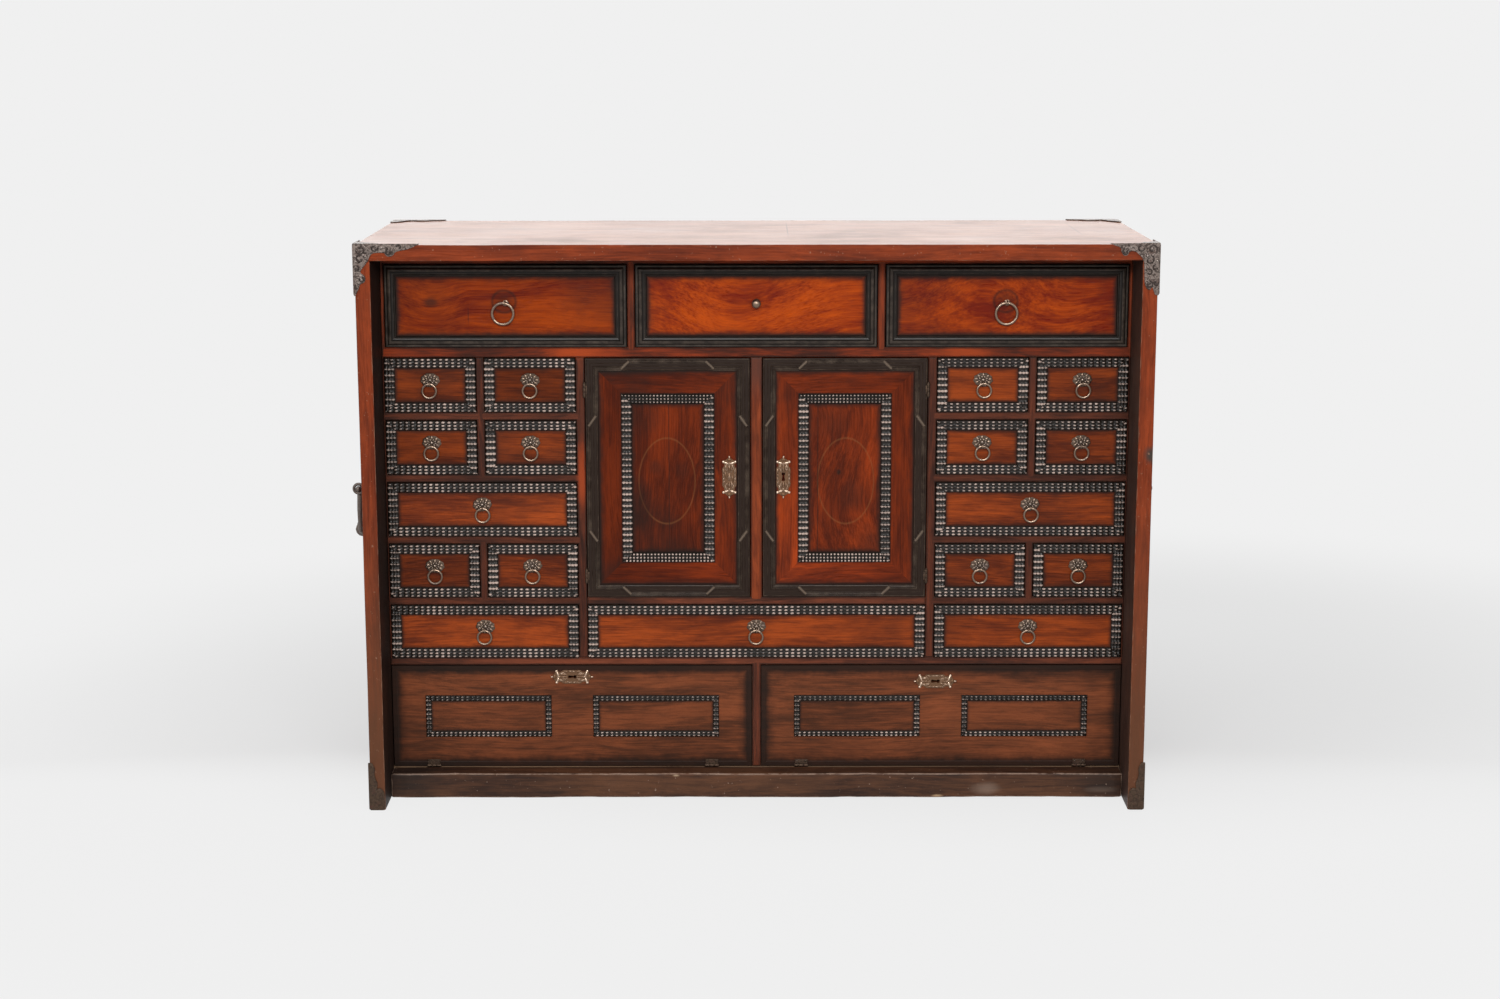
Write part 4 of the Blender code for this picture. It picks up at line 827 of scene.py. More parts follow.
def inner_woods():
    """Makes the woods of the inner frames, brighter in places beside and above the doors."""
    bright = (0.40, 0.060, 0.012)
    glows = [mark_at((x, FRONT, 0.47), (0.011, 0.1, 0.065), 0.6, tint=bright) for x in (-0.242, 0.234)]
    glows += [mark_at((x, FRONT, 0.645), (0.05, 0.1, 0.011), 0.6, tint=bright) for x in (-0.25, 0.30)]
    for name, light, deep, along, polish, gloss, shift, marks, clouds in (
        ("rail_red", (0.300, 0.042, 0.010), (0.045, 0.013, 0.008), "X", 0.42, 0.08, 2.2, glows, 0.9),
        ("post_red", (0.300, 0.050, 0.014), (0.040, 0.013, 0.008), "Z", 0.42, 0.08, 3.4, (), 0.9),
        ("divider_across", (0.200, 0.052, 0.024), (0.040, 0.015, 0.010), "X", 0.46, 0.10, 2.2, glows, 0.8),
        ("divider_upright", (0.190, 0.048, 0.022), (0.034, 0.013, 0.009), "Z", 0.46, 0.10, 4.4, glows, 0.8),
    ):
        wood(name, light, deep, along, polish, gloss, 0.8, shift, marks=marks, clouds=clouds)
    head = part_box("door_left")[1].z
    dull = ((0.085, 0.034, 0.024), head - 0.015, head - 0.075, 0.8)
    stile = ((0.34, 0.068, 0.020), (0.12, 0.024, 0.010))
    wood("stile_walnut", *stile, "Z", 0.38, 0.08, 1.0, 6.4, foot=dull, clouds=0.8)


def drawer_woods(woods):
    """Makes the woods of the drawers, with the knots of the top ones and the dirt round their rings."""
    knots = (
        ((-0.451, FRONT, 0.716), 0.060, 0.016), ((-0.02, FRONT, 0.690), 0.16, 0.03),
        ((0.33, FRONT, 0.745), 0.13, -0.03),
    )
    spots = [
        mark_at((-0.452, FRONT, 0.7165), (0.0140, 0.02, 0.0090), 0.70),
        mark_at((-0.400, FRONT, 0.698), (0.0011, 0.02, 0.018), 0.5),
    ]
    for ring in ("ring_top_left", "ring_top_right"):
        place = (PIVOTS[ring].x - 0.002, FRONT, PIVOTS[ring].z + 0.002)
        spots.append(mark_at(place, (0.020, 0.03, 0.019), 0.45))
        spots.append(mark_at(place, (0.0165, 1.0, 0.0155), 0.55, 0.22))
    bright = (woods.bright_light, woods.bright_deep)
    wood("bright_walnut", *bright, "X", 0.30, 0.08, 0.9, 0.7, bend=0.10, lines=0.22, knots=knots, marks=spots)
    wood("drawer_walnut", woods.drawer_light, woods.drawer_deep, "X", woods.polish, 0.08, 1.0, 8.3)


# Dark clouds in the doors' panels: where from the middle, their half sizes and their strength
PANEL_CLOUDS = {
    "left": (
        (-0.016, 0.016, 0.012, 0.014, 0.40), (0.022, 0.012, 0.013, 0.016, 0.30),
        (-0.036, -0.045, 0.020, 0.050, 0.5), (0.000, -0.105, 0.060, 0.030, 0.45),
        (-0.030, 0.090, 0.030, 0.040, 0.35),
    ),
    "right": (
        (-0.010, 0.009, 0.004, 0.005, 0.8), (0.010, -0.025, 0.022, 0.030, 0.35),
        (0.040, -0.100, 0.030, 0.040, 0.45), (-0.020, 0.080, 0.030, 0.035, 0.30),
    ),
}
PANEL_SEAMS = {"left": 0.003, "right": -0.040}


def door_woods(woods):
    """Makes the woods of the doors and the flaps; a door's panel has an oval, a seam and clouds."""
    door = (woods.door_light, woods.door_deep)
    wood("door_across", *door, "X", 0.30, 0.08, 0.9, 1.1, clouds=0.95)
    wood("door_upright", *door, "Z", 0.30, 0.08, 0.9, 2.7, clouds=0.95)
    marks = []
    for side, _ in SIDES:
        low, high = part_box(f"door_{side}")
        x, z = (low.x + high.x) / 2, (low.z + high.z) / 2
        marks.append(mark_at((x, FRONT, z - 0.004), (0.040, 1.0, 0.062), 0.28, 0.04, (0.26, 0.10, 0.035)))
        marks.append(mark_at((x + PANEL_SEAMS[side], FRONT, z), (0.0009, 1.0, 0.30), 0.7))
        for aside, up, wide, tall, share in PANEL_CLOUDS[side]:
            marks.append(mark_at((x + aside, FRONT, z + up), (wide, 1.0, tall), share))
    wood("door_panel", *door, "Z", 0.28, 0.08, 0.8, 9.4, bend=0.09, marks=marks, clouds=0.9)
    wood("flap_walnut", woods.flap_light, woods.flap_deep, "X", 0.42, 0.08, 1.0, 4.9)


class CABINET_OT_finishes(Operator):
    """Makes the woods, the ebonised finish and the metals"""

    bl_idname = "cabinet.finishes"
    bl_label = "Finishes"

    def execute(self, context):
        woods, metals = context.scene.cabinet_woods, context.scene.cabinet_metals
        case_woods(woods)
        inner_woods()
        drawer_woods(woods)
        door_woods(woods)
        # The pale colour of each black finish is painted highlight with some wear; on the ripples it is
        # almost all painted highlight
        ebonised("ebonised", woods.ebony, 0.18, 0.34, (0.128, 0.096, 0.074), 0.35, 1.1, 0.9)
        ebonised("border_black", (0.0190, 0.0100, 0.0062), 0.15, 0.38, (0.150, 0.110, 0.080), 0.35, 1.1, 1.0)
        ebonised("ripple_black", woods.ebony, 0.24, 0.24, (0.62, 0.47, 0.40), 0.50, 1.00, 0.55)
        lining_wood("lining_upright", woods.lining, "Y")
        lining_wood("back_pine", (0.24, 0.14, 0.075), "X", 0.55, (0.213, 0.404, 0.587))
        forged("forged_iron", metals.iron, metals.rust, metals.wear_and_sheen)
        forged("chased_iron", (0.170, 0.137, 0.120), metals.rust, metals.wear_and_sheen, 0.85)
        forged("foot_iron", (0.072, 0.046, 0.031), metals.rust, 0.5, 0.5)
        forged("brown_bronze", metals.bronze, metals.rust, 0.34)
        gilt("gilt_brass", metals.brass, metals.tarnish)
        return {"FINISHED"}


def side_board(side, sign):
    """A side board, near-black inside from just behind its front edge: dark stain with painted shade of the
    recess.
    """
    work = Work("case_walnut_upright", "case_walnut_stained_and_shaded")
    low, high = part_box(f"side_{side}")
    inner = end_of("back_panel", sign) + sign * 0.0003
    low.x, high.x = sorted((inner, end_of("top_board", sign)))
    slab(work, low, high, 60, 0.0014, 0.0005, 3.0 + sign)
    behind = CASE_FRONT + 0.0012
    for face in work.bm.faces:
        if face.normal.x * sign < -0.7 and face.calc_center_median().y > behind:
            face.material_index = 1
            deep = [vert for vert in face.verts if vert.co.y > behind]
            # Painted light: the right board's inner wall is made 3.6 times as bright as the left one's
            work.mark(deep, "tone", 2.6 if sign > 0 else 0.1)
    work.piece(f"side_board_{side}", "case", "case_walnut", [f"side_{side}"])


def plinth_rail():
    """The plinth rail, chipped along its edges, most of all the lower one."""
    work = Work("rail_walnut")
    low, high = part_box("bottom_rail")
    slab(work, low, high, 90, 0.0028, 0.0010, 7.0, 1.0)
    chance = random.Random(4)
    for _ in range(26):
        at = Vector((chance.uniform(low.x, high.x), low.y, chance.choice((low.z, low.z, high.z))))
        reach = chance.uniform(0.006, 0.014)
        for vert in work.bm.verts:
            near = (vert.co - at).length
            if near < reach:
                vert.co.y += 0.0018 * (1.0 - near / reach)
    work.piece("plinth_rail", "case", "case_walnut", ["bottom_rail"])


class CABINET_OT_case(Operator):
    """Makes the top board, the sides and the plinth rail"""

    bl_idname = "cabinet.case"
    bl_label = "Case boards"

    def execute(self, context):
        work = Work("case_walnut_across", "top_walnut_and_sheen")
        slab(work, *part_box("top_board"), 70, 0.0011, 0.0006, 2.0)
        work.paint([face for face in work.bm.faces if face.normal.z > 0.9], 1)
        work.piece("top_plank", "case", "case_walnut", ["top_board"])
        for side, sign in SIDES:
            side_board(side, sign)
        plinth_rail()
        return {"FINISHED"}


# The finishes of each frame's lying and standing boards and of the stile between the doors
RED_FRAME = ("rail_red", "post_red")
BROWN_FRAME = ("divider_across", "divider_upright", "stile_walnut")
FRAME_TONES = {"bank_frame_left": -0.25, "bank_frame_right": -0.32}
# Width of the painted shade along the frames' front edges
FRAME_SHADE_WIDTH = 0.0020
NARROW_STRIP = 0.0056


def flush(point):
    """Whether a point lies in the plane of the fronts."""
    return point.y < FRONT + SUNK


def inner_frame(node):
    """A frame's boards with rounded front edges, darkened along them by painted shade and some grime."""
    work = Work(*(RED_FRAME if node == "upper_frame" else BROWN_FRAME))
    work.add(NODES[node].data)
    bm = work.bm
    bmesh.ops.remove_doubles(bm, verts=bm.verts, dist=SUNK / 20)
    flat = [edge for edge in bm.edges if len(edge.link_faces) == 2]
    bmesh.ops.dissolve_limit(bm, angle_limit=math.radians(1.0), verts=bm.verts, edges=flat, delimit=set())
    bmesh.ops.connect_verts_concave(bm, faces=bm.faces)
    for face in bm.faces:
        low = Vector([min(vert.co[i] for vert in face.verts) for i in range(3)])
        high = Vector([max(vert.co[i] for vert in face.verts) for i in range(3)])
        size = high - low
        if size.z > size.x and abs(face.normal.z) < 0.5:
            stile = node == "centre_frame" and abs(high.x + low.x) / 2 < 0.02
            face.material_index = 2 if stile else 1
    work.mark(bm.verts, "tone", FRAME_TONES.get(node, 0.0))
    across = sorted({round(vert.co.x, 5) for vert in bm.verts if flush(vert.co)})
    strips = [(a + b) / 2 for a, b in (across[:2], across[-2:]) if b - a < NARROW_STRIP]
    sharp = [
        edge for edge in bm.edges
        if len(edge.link_faces) == 2 and edge.calc_face_angle(0.0) > 0.5
        and all(flush(vert.co) for vert in edge.verts)
    ]
    work.soften(sharp, 0.0008, 2, 0.6)
    # Painted shade: the front faces are darkened in a strip along their edges, beside the drawer openings
    front = [face for face in bm.faces if face.normal.y < -0.99 and flush(face.calc_center_median())]
    work.mark(front, "grime_and_shade", 0.85)
    bmesh.ops.inset_region(bm, faces=front, thickness=FRAME_SHADE_WIDTH, use_boundary=True, use_even_offset=True)
    work.mark(front, "grime_and_shade", 0.0)
    # The inset crosses over on the narrow outer strips, so their clean part is drawn in to a line
    for vert in {vert for face in front for vert in face.verts}:
        for strip in strips:
            if abs(vert.co.x - strip) < FRAME_SHADE_WIDTH * 2:
                vert.co.x = strip + (strip - vert.co.x) * 0.02
    work.piece(f"{node}_boards", "case", "inner_walnut", [node])


class CABINET_OT_frames(Operator):
    """Gives the inner frames, the back and the floor board their woods"""

    bl_idname = "cabinet.frames"
    bl_label = "Inner frames"

    def execute(self, context):
        for node in ("upper_frame", "lower_frame", "bank_frame_left", "bank_frame_right", "centre_frame"):
            inner_frame(node)
        for node in ("back_panel", "bottom_board"):
            slots = NODES[node].data.materials
            slots.clear()
            slots.append(bpy.data.materials["back_pine_finish"])
        return {"FINISHED"}


def drawer(name, finish, front):
    """A drawer: its front, shaped by a function, and its open box behind."""
    node = f"drawer_{name}"
    low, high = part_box(node)
    work = Work(finish, "ebonised", "lining_upright")
    faces = work.box((low.x, FRONT, low.z), (high.x, FRONT + DRAWER_FRONT, high.z), 1)
    front(work, work.facing(faces, OUT), TONES[name])
    faces = work.box((low.x, FRONT + DRAWER_FRONT - WALL, low.z), high, 2)
    rim = work.facing(faces, (0.0, 0.0, 1.0))
    work.inset(rim, WALL)
    made = bmesh.ops.extrude_discrete_faces(work.bm, faces=[rim])["faces"][0]
    bmesh.ops.translate(work.bm, verts=made.verts, vec=(0.0, 0.0, low.z + DRAWER_FLOOR - high.z))
    work.mark([made], "grime_and_shade", 0.6)
    work.piece(f"{name}_box", node, finish, [node], 30.0)


# The broad black moulding from its outer edge in: how wide each step is and how far it rises
BROAD_PROFILE = (
    (0.0006, 0.0024), (0.0012, 0.0004), (0.0020, 0.0), (0.0008, 0.0012), (0.0010, 0.0010),
    (0.0012, 0.0008), (0.0014, 0.0003), (0.0012, -0.0006), (0.0008, -0.0016), (0.0010, -0.0006),
    (0.0018, -0.0004), (0.0014, 0.0006), (0.0010, -0.0006), (0.0008, -0.0018), (0.0004, -0.0011),
)


def bright_front(work, face, tone):
    """A broad black moulding, pale with wear and painted highlights on its crown and its outer lip, round a
    bright field.
    """
    # Painted highlights with wear: the crown and the outer lip of the moulding are marked pale
    def wear_and_sheen(height):
        return 0.6 if height > 0.0045 or 0.0024 < height < 0.0032 else 0.0

    work.profile(face, BROAD_PROFILE, wear_and_sheen)
    work.inset(face, 0.0001)
    face.material_index = 0
    work.mark([face], "tone", tone)
    work.field_grime_and_shade(face, ((0.0020, 0.75), (0.0045, 0.35), (0.0110, 0.0)))


def plain_front(work, face, tone):
    """A flat field, its black border for the ripple mouldings."""
    work.inset(face, bpy.context.scene.cabinet_mouldings.band - 0.0006)
    face.material_index = 0
    work.mark(work.bm.verts, "tone", tone)
    work.field_grime_and_shade(face, ((0.0018, 0.7), (0.0040, 0.3), (0.0080, 0.0)))
    work.mark([face], "tone", tone)


class CABINET_OT_top_drawers(Operator):
    """Makes the three top drawers with broad mouldings and bright fields"""

    bl_idname = "cabinet.top_drawers"
    bl_label = "Top drawers"

    def execute(self, context):
        for name in (n for n in DRAWERS if n.startswith("top")):
            drawer(name, "bright_walnut", bright_front)
        return {"FINISHED"}


class CABINET_OT_small_drawers(Operator):
    """Makes the seventeen drawers with ripple mouldings"""

    bl_idname = "cabinet.small_drawers"
    bl_label = "Small drawers"

    def execute(self, context):
        for name in (n for n in DRAWERS if not n.startswith("top")):
            drawer(name, "drawer_walnut", plain_front)
            low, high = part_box(f"drawer_{name}")
            # Painted shade: the painted highlights are dimmed on the right drawers' top lengths and on the
            # lengths beside the case sides
            highlight_shares = [1.0] * 4
            if name.startswith("right"):
                highlight_shares[HEAD_LENGTH] = 0.90
            if low.x < -OUTER_DRAWERS:
                highlight_shares[LEFT_LENGTH] = 0.88
            if high.x > OUTER_DRAWERS:
                highlight_shares[RIGHT_LENGTH] = 0.88
            ripple = Work("ripple_black")
            ripple_frame(ripple, (low.x, low.z), (high.x, high.z), FRONT, 0, f"ripple {name}", highlight_shares=highlight_shares)
            ripple.piece(f"{name}_ripple", f"drawer_{name}", "ebonised_wood", angle=60.0)
        return {"FINISHED"}


PETAL_COUNT = 9
# The rosette's two rows of petals: how far out across and up, the lift, the half sizes and the wear
PETALS = (
    (0.0096, 0.0068, 0.0021, (0.0034, 0.0014, 0.0022), 0.6),
    (0.0057, 0.0043, 0.0030, (0.0023, 0.0012, 0.0013), 0.8),
)


def rosette_mesh():
    """The cast rosette behind a small ring, its eye at the origin and its face towards -Y."""
    work = Work()
    centre = Vector((0.0, 0.0, BOSS_ABOVE_EYE))
    rim = bmesh.ops.create_circle(work.bm, cap_ends=True, segments=40, radius=1.0, matrix=FACE)["verts"]
    disc = work.faces_of(rim)[0]
    for vert in rim:
        angle = math.atan2(vert.co.z, vert.co.x)
        reach = 0.0096 + 0.0012 * abs(math.cos(PETAL_COUNT / 2 * angle + math.pi / 4))
        vert.co = centre + Vector((math.cos(angle) * reach * 1.30, 0.0, math.sin(angle) * reach * 0.94))
    grown = bmesh.ops.extrude_discrete_faces(work.bm, faces=[disc])["faces"][0]
    bmesh.ops.translate(work.bm, verts=grown.verts, vec=OUT * 0.0012)
    work.inset(grown, 0.0012, 0.0008)
    work.mark(work.bm.verts, "grime_and_shade", 0.6)
    for number in range(PETAL_COUNT):
        for row, (across, up, lift, size, wear_and_highlight) in enumerate(PETALS):
            angle = math.pi / 2 + (number + row / 2) * math.tau / PETAL_COUNT
            place = centre + Vector((math.cos(angle) * across, -lift, math.sin(angle) * up))
            work.ball(place, size, Matrix.Rotation(-angle, 4, "Y"), steps=(8, 6), wear_and_highlight=wear_and_highlight)
    work.ball(centre + OUT * 0.0030, (0.0026, 0.0016, 0.0024), wear_and_highlight=1.0)
    return work.mesh("rosette")


# The turned knob and the small plate of a top staple: radius and height from the tip to the foot
KNOB_PROFILE = (
    (0.0, 0.0168), (0.0022, 0.0166), (0.0044, 0.0158), (0.0060, 0.0142), (0.0067, 0.0122),
    (0.0065, 0.0102), (0.0052, 0.0086), (0.0036, 0.0074), (0.0030, 0.0056), (0.0033, 0.0040),
    (0.0046, 0.0030), (0.0058, 0.0020), (0.0060, 0.0008), (0.0060, -0.0006), (0.0, -0.0006),
)
STAPLE_PROFILE = ((0.0, 0.0010), (0.0030, 0.0010), (0.0042, 0.0004), (0.0042, -0.0004), (0.0, -0.0004))


def top_staple(work, middle):
    """Two legs through a small round plate, with a ball on each side."""
    for side in (-1, 1):
        foot = middle + Vector((side * 0.0009, 0.0008, 0.0))
        work.rod(foot, foot + OUT * 0.0030, EYE_WIRE, steps=8)
        work.ball(middle + Vector((side * 0.0034, -0.0012, 0.0004)), (0.0017, 0.0014, 0.0017), wear_and_highlight=1.0)
    work.turned(middle, OUT, STAPLE_PROFILE)


class CABINET_OT_pulls(Operator):
    """Makes the ring pulls, their rosettes and staples, and the turned knob"""

    bl_idname = "cabinet.pulls"
    bl_label = "Ring pulls and knob"

    def execute(self, context):
        rosette = rosette_mesh()
        chance = random.Random(11)
        for name in DRAWERS:
            body = f"drawer_{name}"
            low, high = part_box(body)
            middle = Vector(((low.x + high.x) / 2, FRONT, (low.z + high.z) / 2 + BIG_LIFT))
            mount = Work("brown_bronze")
            if name == "top_middle":
                mount.turned(middle, OUT, KNOB_PROFILE)
                mount.piece("top_middle_knob", body, "forged_iron", angle=50.0)
                continue
            node = f"ring_{name}"
            pivot = PIVOTS[node]
            ring_low, ring_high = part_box(node)
            wire = (ring_high.y - ring_low.y) / 2
            radius = (ring_high.x - ring_low.x) / 2 - wire
            eye = wire + EYE_PLAY + EYE_WIRE
            mount.hoop(pivot, (1.0, 0.0, 0.0), eye, EYE_WIRE, steps=20, wire_steps=8, wear_and_highlight=0.4)
            if name.startswith("top"):
                top_staple(mount, middle)
            else:
                tilt = Matrix.Rotation(math.radians(chance.uniform(-6.0, 6.0)), 4, "Y")
                mount.add(rosette, Matrix.Translation((pivot.x, FRONT, pivot.z)) @ tilt)
            mount.piece(f"{name}_mount", body, "forged_iron", angle=50.0)
            ring = Work("brown_bronze")
            centre = pivot - Vector((0.0, 0.0, radius))
            ring.hoop(centre, (0.0, 1.0, 0.0), radius, wire + EYE_PLAY * 0.7, steps=44, wear_and_highlight=0.55)
            swing = math.radians(SWINGS.get(name, chance.uniform(-4.0, 4.0)))
            spun = Matrix.Translation(pivot) @ Matrix.Rotation(swing, 4, "Y") @ Matrix.Translation(-pivot)
            bmesh.ops.transform(ring.bm, matrix=spun, verts=ring.bm.verts)
            ring.piece(f"{name}_ring", node, "forged_iron", [node])
        bpy.data.meshes.remove(rosette)
        return {"FINISHED"}


PLATE_LENGTH = 0.062
PLATE_WIDTH = 0.0205
PLATE_THICKNESS = 0.0014
# A quarter of a keyhole plate's outline, as shares of its half length and half width
PLATE_QUARTER = (
    (1.00, 0.00), (0.98, 0.10), (0.93, 0.13), (0.89, 0.12), (0.86, 0.30), (0.80, 0.50),
    (0.76, 0.84), (0.72, 1.00), (0.67, 0.98), (0.63, 0.76), (0.56, 0.70), (0.48, 0.78),
    (0.42, 0.95), (0.30, 1.00), (0.14, 0.96), (0.00, 0.98),
)
# Relief on a plate: the place along and across it, half length, half width, slant in degrees and wear
QUARTER_RELIEF = (
    (0.0222, 0.0085, 0.0019, 0.0017, 0.0, 1.0), (0.0205, 0.0045, 0.0040, 0.0015, 70.0, 0.9),
    (0.0150, 0.0052, 0.0042, 0.0013, -18.0, 0.55), (0.0085, 0.0080, 0.0042, 0.0013, 10.0, 0.45),
    (0.0105, 0.0045, 0.0032, 0.0011, 32.0, 0.5), (0.0025, 0.0082, 0.0030, 0.0013, 0.0, 0.5),
    (0.0118, 0.0033, 0.0062, 0.0013, 6.0, 0.42),
)
END_RELIEF = (
    (0.0290, 0.0, 0.0020, 0.0012, 0.0, 0.8), (0.0252, 0.0, 0.0026, 0.0034, 0.0, 0.15),
    (0.0185, 0.0, 0.0036, 0.0016, 0.0, 0.5), (0.0120, 0.0, 0.0060, 0.0015, 0.0, 0.4),
)
BLIND_RELIEF = (
    (0.0, 0.0, 0.0060, 0.0022, 0.0, 0.45), (0.0020, 0.0048, 0.0056, 0.0014, 14.0, 0.35),
    (-0.0020, -0.0048, 0.0056, 0.0014, 14.0, 0.35),
)
UPRIGHT = Matrix.Rotation(-math.pi / 2, 4, "Y")
LYING = Matrix.Identity(4)


def plate_loop():
    """The outline of a keyhole plate."""
    quarter = [(a * PLATE_LENGTH / 2, b * PLATE_WIDTH / 2) for a, b in PLATE_QUARTER]
    right = quarter + [(-a, b) for a, b in reversed(quarter[:-1])]
    return right + [(a, -b) for a, b in reversed(right[1:-1])]


def keyhole_loop():
    """A round eye with a leg, along the plate's length."""
    radius, leg = 0.0026, 0.0090
    sweep = math.tau - math.pi / 3
    turns = [math.pi * 7 / 6 + sweep * step / 12 for step in range(13)]
    loop = [(leg / 2 + radius * math.cos(turn), radius * math.sin(turn)) for turn in turns]
    foot = [(-leg / 2, radius * 0.9), (-leg * 0.62, radius * 0.5)]
    return loop + foot + [(a, -b) for a, b in reversed(foot)]


def keyhole_plate(name, node, centre, turn, pierced):
    """A cast plate with scrolls and beads round its keyhole."""
    work = Work("gilt_brass")
    loops = [plate_loop()] + ([keyhole_loop()] if pierced else [])
    place = Matrix.Translation(centre + OUT * (PLATE_THICKNESS / 2)) @ turn @ FACE
    work.add(plate_mesh(loops, PLATE_THICKNESS, place))
    reliefs = [] if pierced else list(BLIND_RELIEF)
    for end in (-1, 1):
        reliefs += [(a * end, b, *rest) for a, b, *rest in END_RELIEF]
        for side in (-1, 1):
            for a, b, length, width, slant, wear_and_highlight in QUARTER_RELIEF:
                reliefs.append((a * end, b * side, length, width, slant * end * side, wear_and_highlight))
    face = Matrix.Translation(centre + OUT * PLATE_THICKNESS) @ turn
    for a, b, length, width, slant, wear_and_highlight in reliefs:
        local = Matrix.Translation((a, 0.0, b)) @ Matrix.Rotation(math.radians(-slant), 4, "Y")
        work.ball((0.0, 0.0, 0.0), (length, 0.0011, width), face @ local, steps=(8, 6), wear_and_highlight=wear_and_highlight)
    work.piece(name, node, "cast_brass", angle=50.0)


def cut_keyhole(work, centre, turn, depth):
    """Cuts a keyhole into the work from 1 mm before its front."""
    place = Matrix.Translation(centre - OUT * (depth / 2 - 0.001)) @ turn @ FACE
    target = temporary("carved", work.mesh("carved"))
    tool = temporary("cutter", plate_mesh([keyhole_loop()], depth, place))
    modifier = target.modifiers.new("cut", "BOOLEAN")
    modifier.operation = "DIFFERENCE"
    modifier.object = tool
    bpy.context.view_layer.update()
    result = bpy.data.meshes.new_from_object(target.evaluated_get(bpy.context.evaluated_depsgraph_get()))
    bpy.data.objects.remove(target)
    bpy.data.objects.remove(tool)
    work.bm = bmesh.new()
    work.bm.from_mesh(result)
    work.layers = {name: work.bm.verts.layers.float.get(name) for name in work.layers}


LOCK_HALF_WIDTH = 0.029
LOCK_DEPTH = 0.011


def lock_case(work, low, high):
    """An iron lock case with its nails."""
    work.box(low, high, soft=0.0012)
    for x in (low[0] + 0.004, high[0] - 0.004):
        for z in (low[2] + 0.004, high[2] - 0.004):
            work.ball((x, high[1], z), (0.0016, 0.0008, 0.0016), steps=(8, 6))


def barrels(work, start, axis, pitch, length):
    """The three knuckles of a hinge, in a row along an axis."""
    for number in range(3):
        foot = Vector(start) + Vector(axis) * pitch * number
        work.rod(foot, foot + Vector(axis) * length, 0.0023, soft=0.0003)


# The door's black border from its outer edge in: how wide each step is and how far it rises
BORDER_PROFILE = (
    (0.0005, 0.0022), (0.0014, 0.0006), (0.0008, -0.0010), (0.0040, 0.0), (0.0006, 0.0006), (0.0006, -0.0006),
    (0.0030, 0.0), (0.0006, 0.0006), (0.0006, -0.0006), (0.0034, 0.0), (0.0008, 0.0008), (0.0012, -0.0004),
    (0.0008, -0.0022),
)
BORDER_WIDTH = sum(across for across, _ in BORDER_PROFILE)
PANEL_INSET = 0.051
# Strength of the painted highlights on each length of a door's ripple frame: foot, right, head, left
DOOR_HIGHLIGHTS = (1.12, 0.90, 0.90, 0.98)
# Tones at the hinge side's and the lock side's top and bottom, and of the panel
DOOR_TONES = {"left": (((-0.27, -0.32), (0.02, 0.20)), 0.03), "right": (((-0.12, 0.25), (0.25, 1.0)), 0.35)}
# The zigzag strip: how far it jogs, each slant's length and its share of a side, and its three tubes
ZIGZAG_JOG = 0.0106
ZIGZAG_BREAKS = ((0.0112, 0.2435), (0.0150, 0.2590))
ZIGZAG_TUBES = ((0.0020, 0.0008), (0.0044, 0.0017), (0.0068, 0.0008))


def zigzag(width, height, inset):
    """A closed line that runs near a panel's edge along the middles and further in at the corners."""
    points = []
    half = (width / 2, height / 2)
    for turn in range(4):
        along, across = half[turn % 2], half[(turn + 1) % 2]
        slant, share = ZIGZAG_BREAKS[turn % 2]
        near, far = across - inset, across - inset - ZIGZAG_JOG
        jog = along * (1 - 2 * share)
        corner = along - inset - ZIGZAG_JOG
        run = [(-corner, -far), (-jog - slant / 2, -far), (-jog + slant / 2, -near)]
        run += [(jog - slant / 2, -near), (jog + slant / 2, -far)]
        for a, b in run:
            for _ in range(turn):
                a, b = -b, a
            points.append((a, b))
    return points


def surround(work, face, width):
    """Four mitred lengths of veneer round the panel, darkened along the mouldings by grime and painted shade.
    """
    work.mark([face], "grime_and_shade", 1.0)
    tiers = ((0.0030, 0.55), (0.0070, 0.12), (width - 0.0150, 0.0), (0.0030, 0.35), (0.0020, 0.9))
    for across, dirt_and_shade in tiers:
        ring = work.inset(face, across)
        work.mark([face], "grime_and_shade", dirt_and_shade)
        for strip in ring:
            xs = [vert.co.x for vert in strip.verts]
            zs = [vert.co.z for vert in strip.verts]
            strip.material_index = 2 if max(xs) - min(xs) > max(zs) - min(zs) else 3


def door_leaf(side, sign, low, high, plate):
    """A door's leaf: a black border, veneer and a sunk panel, with a keyhole in the right one."""
    work = Work("door_panel", "border_black", "door_across", "door_upright")
    faces = work.box((low.x, FRONT, low.z), (high.x, FRONT + DOOR_THICKNESS, high.z), 3)
    face = work.facing(faces, OUT)
    face.material_index = 1
    # Painted highlights with wear on the border's raised steps
    work.profile(face, BORDER_PROFILE, lambda height: 0.7 if height > 0.0022 else 0.15)
    surround(work, face, PANEL_INSET + 0.0004 - BORDER_WIDTH)
    face.material_index = 1
    work.inset(face, bpy.context.scene.cabinet_mouldings.band - 0.0008, -0.0010)
    face.material_index = 0
    work.field_grime_and_shade(face, ((0.0022, 0.7), (0.0060, 0.25), (0.0120, 0.0)))
    if side == "right":
        cut_keyhole(work, plate, UPRIGHT, DOOR_THICKNESS - 0.002)
    middle = (low + high) / 2
    corners, field = DOOR_TONES[side]
    for vert in work.bm.verts:
        edge = corners[0 if (vert.co.x - middle.x) * sign > 0 else 1]
        vert[work.layers["tone"]] = edge[0 if vert.co.z > middle.z else 1]
    work.mark([part for part in work.bm.faces if part.material_index == 0], "tone", field)
    work.piece(f"door_{side}_leaf", f"door_{side}", "door_walnut", [f"door_{side}"], 30.0)


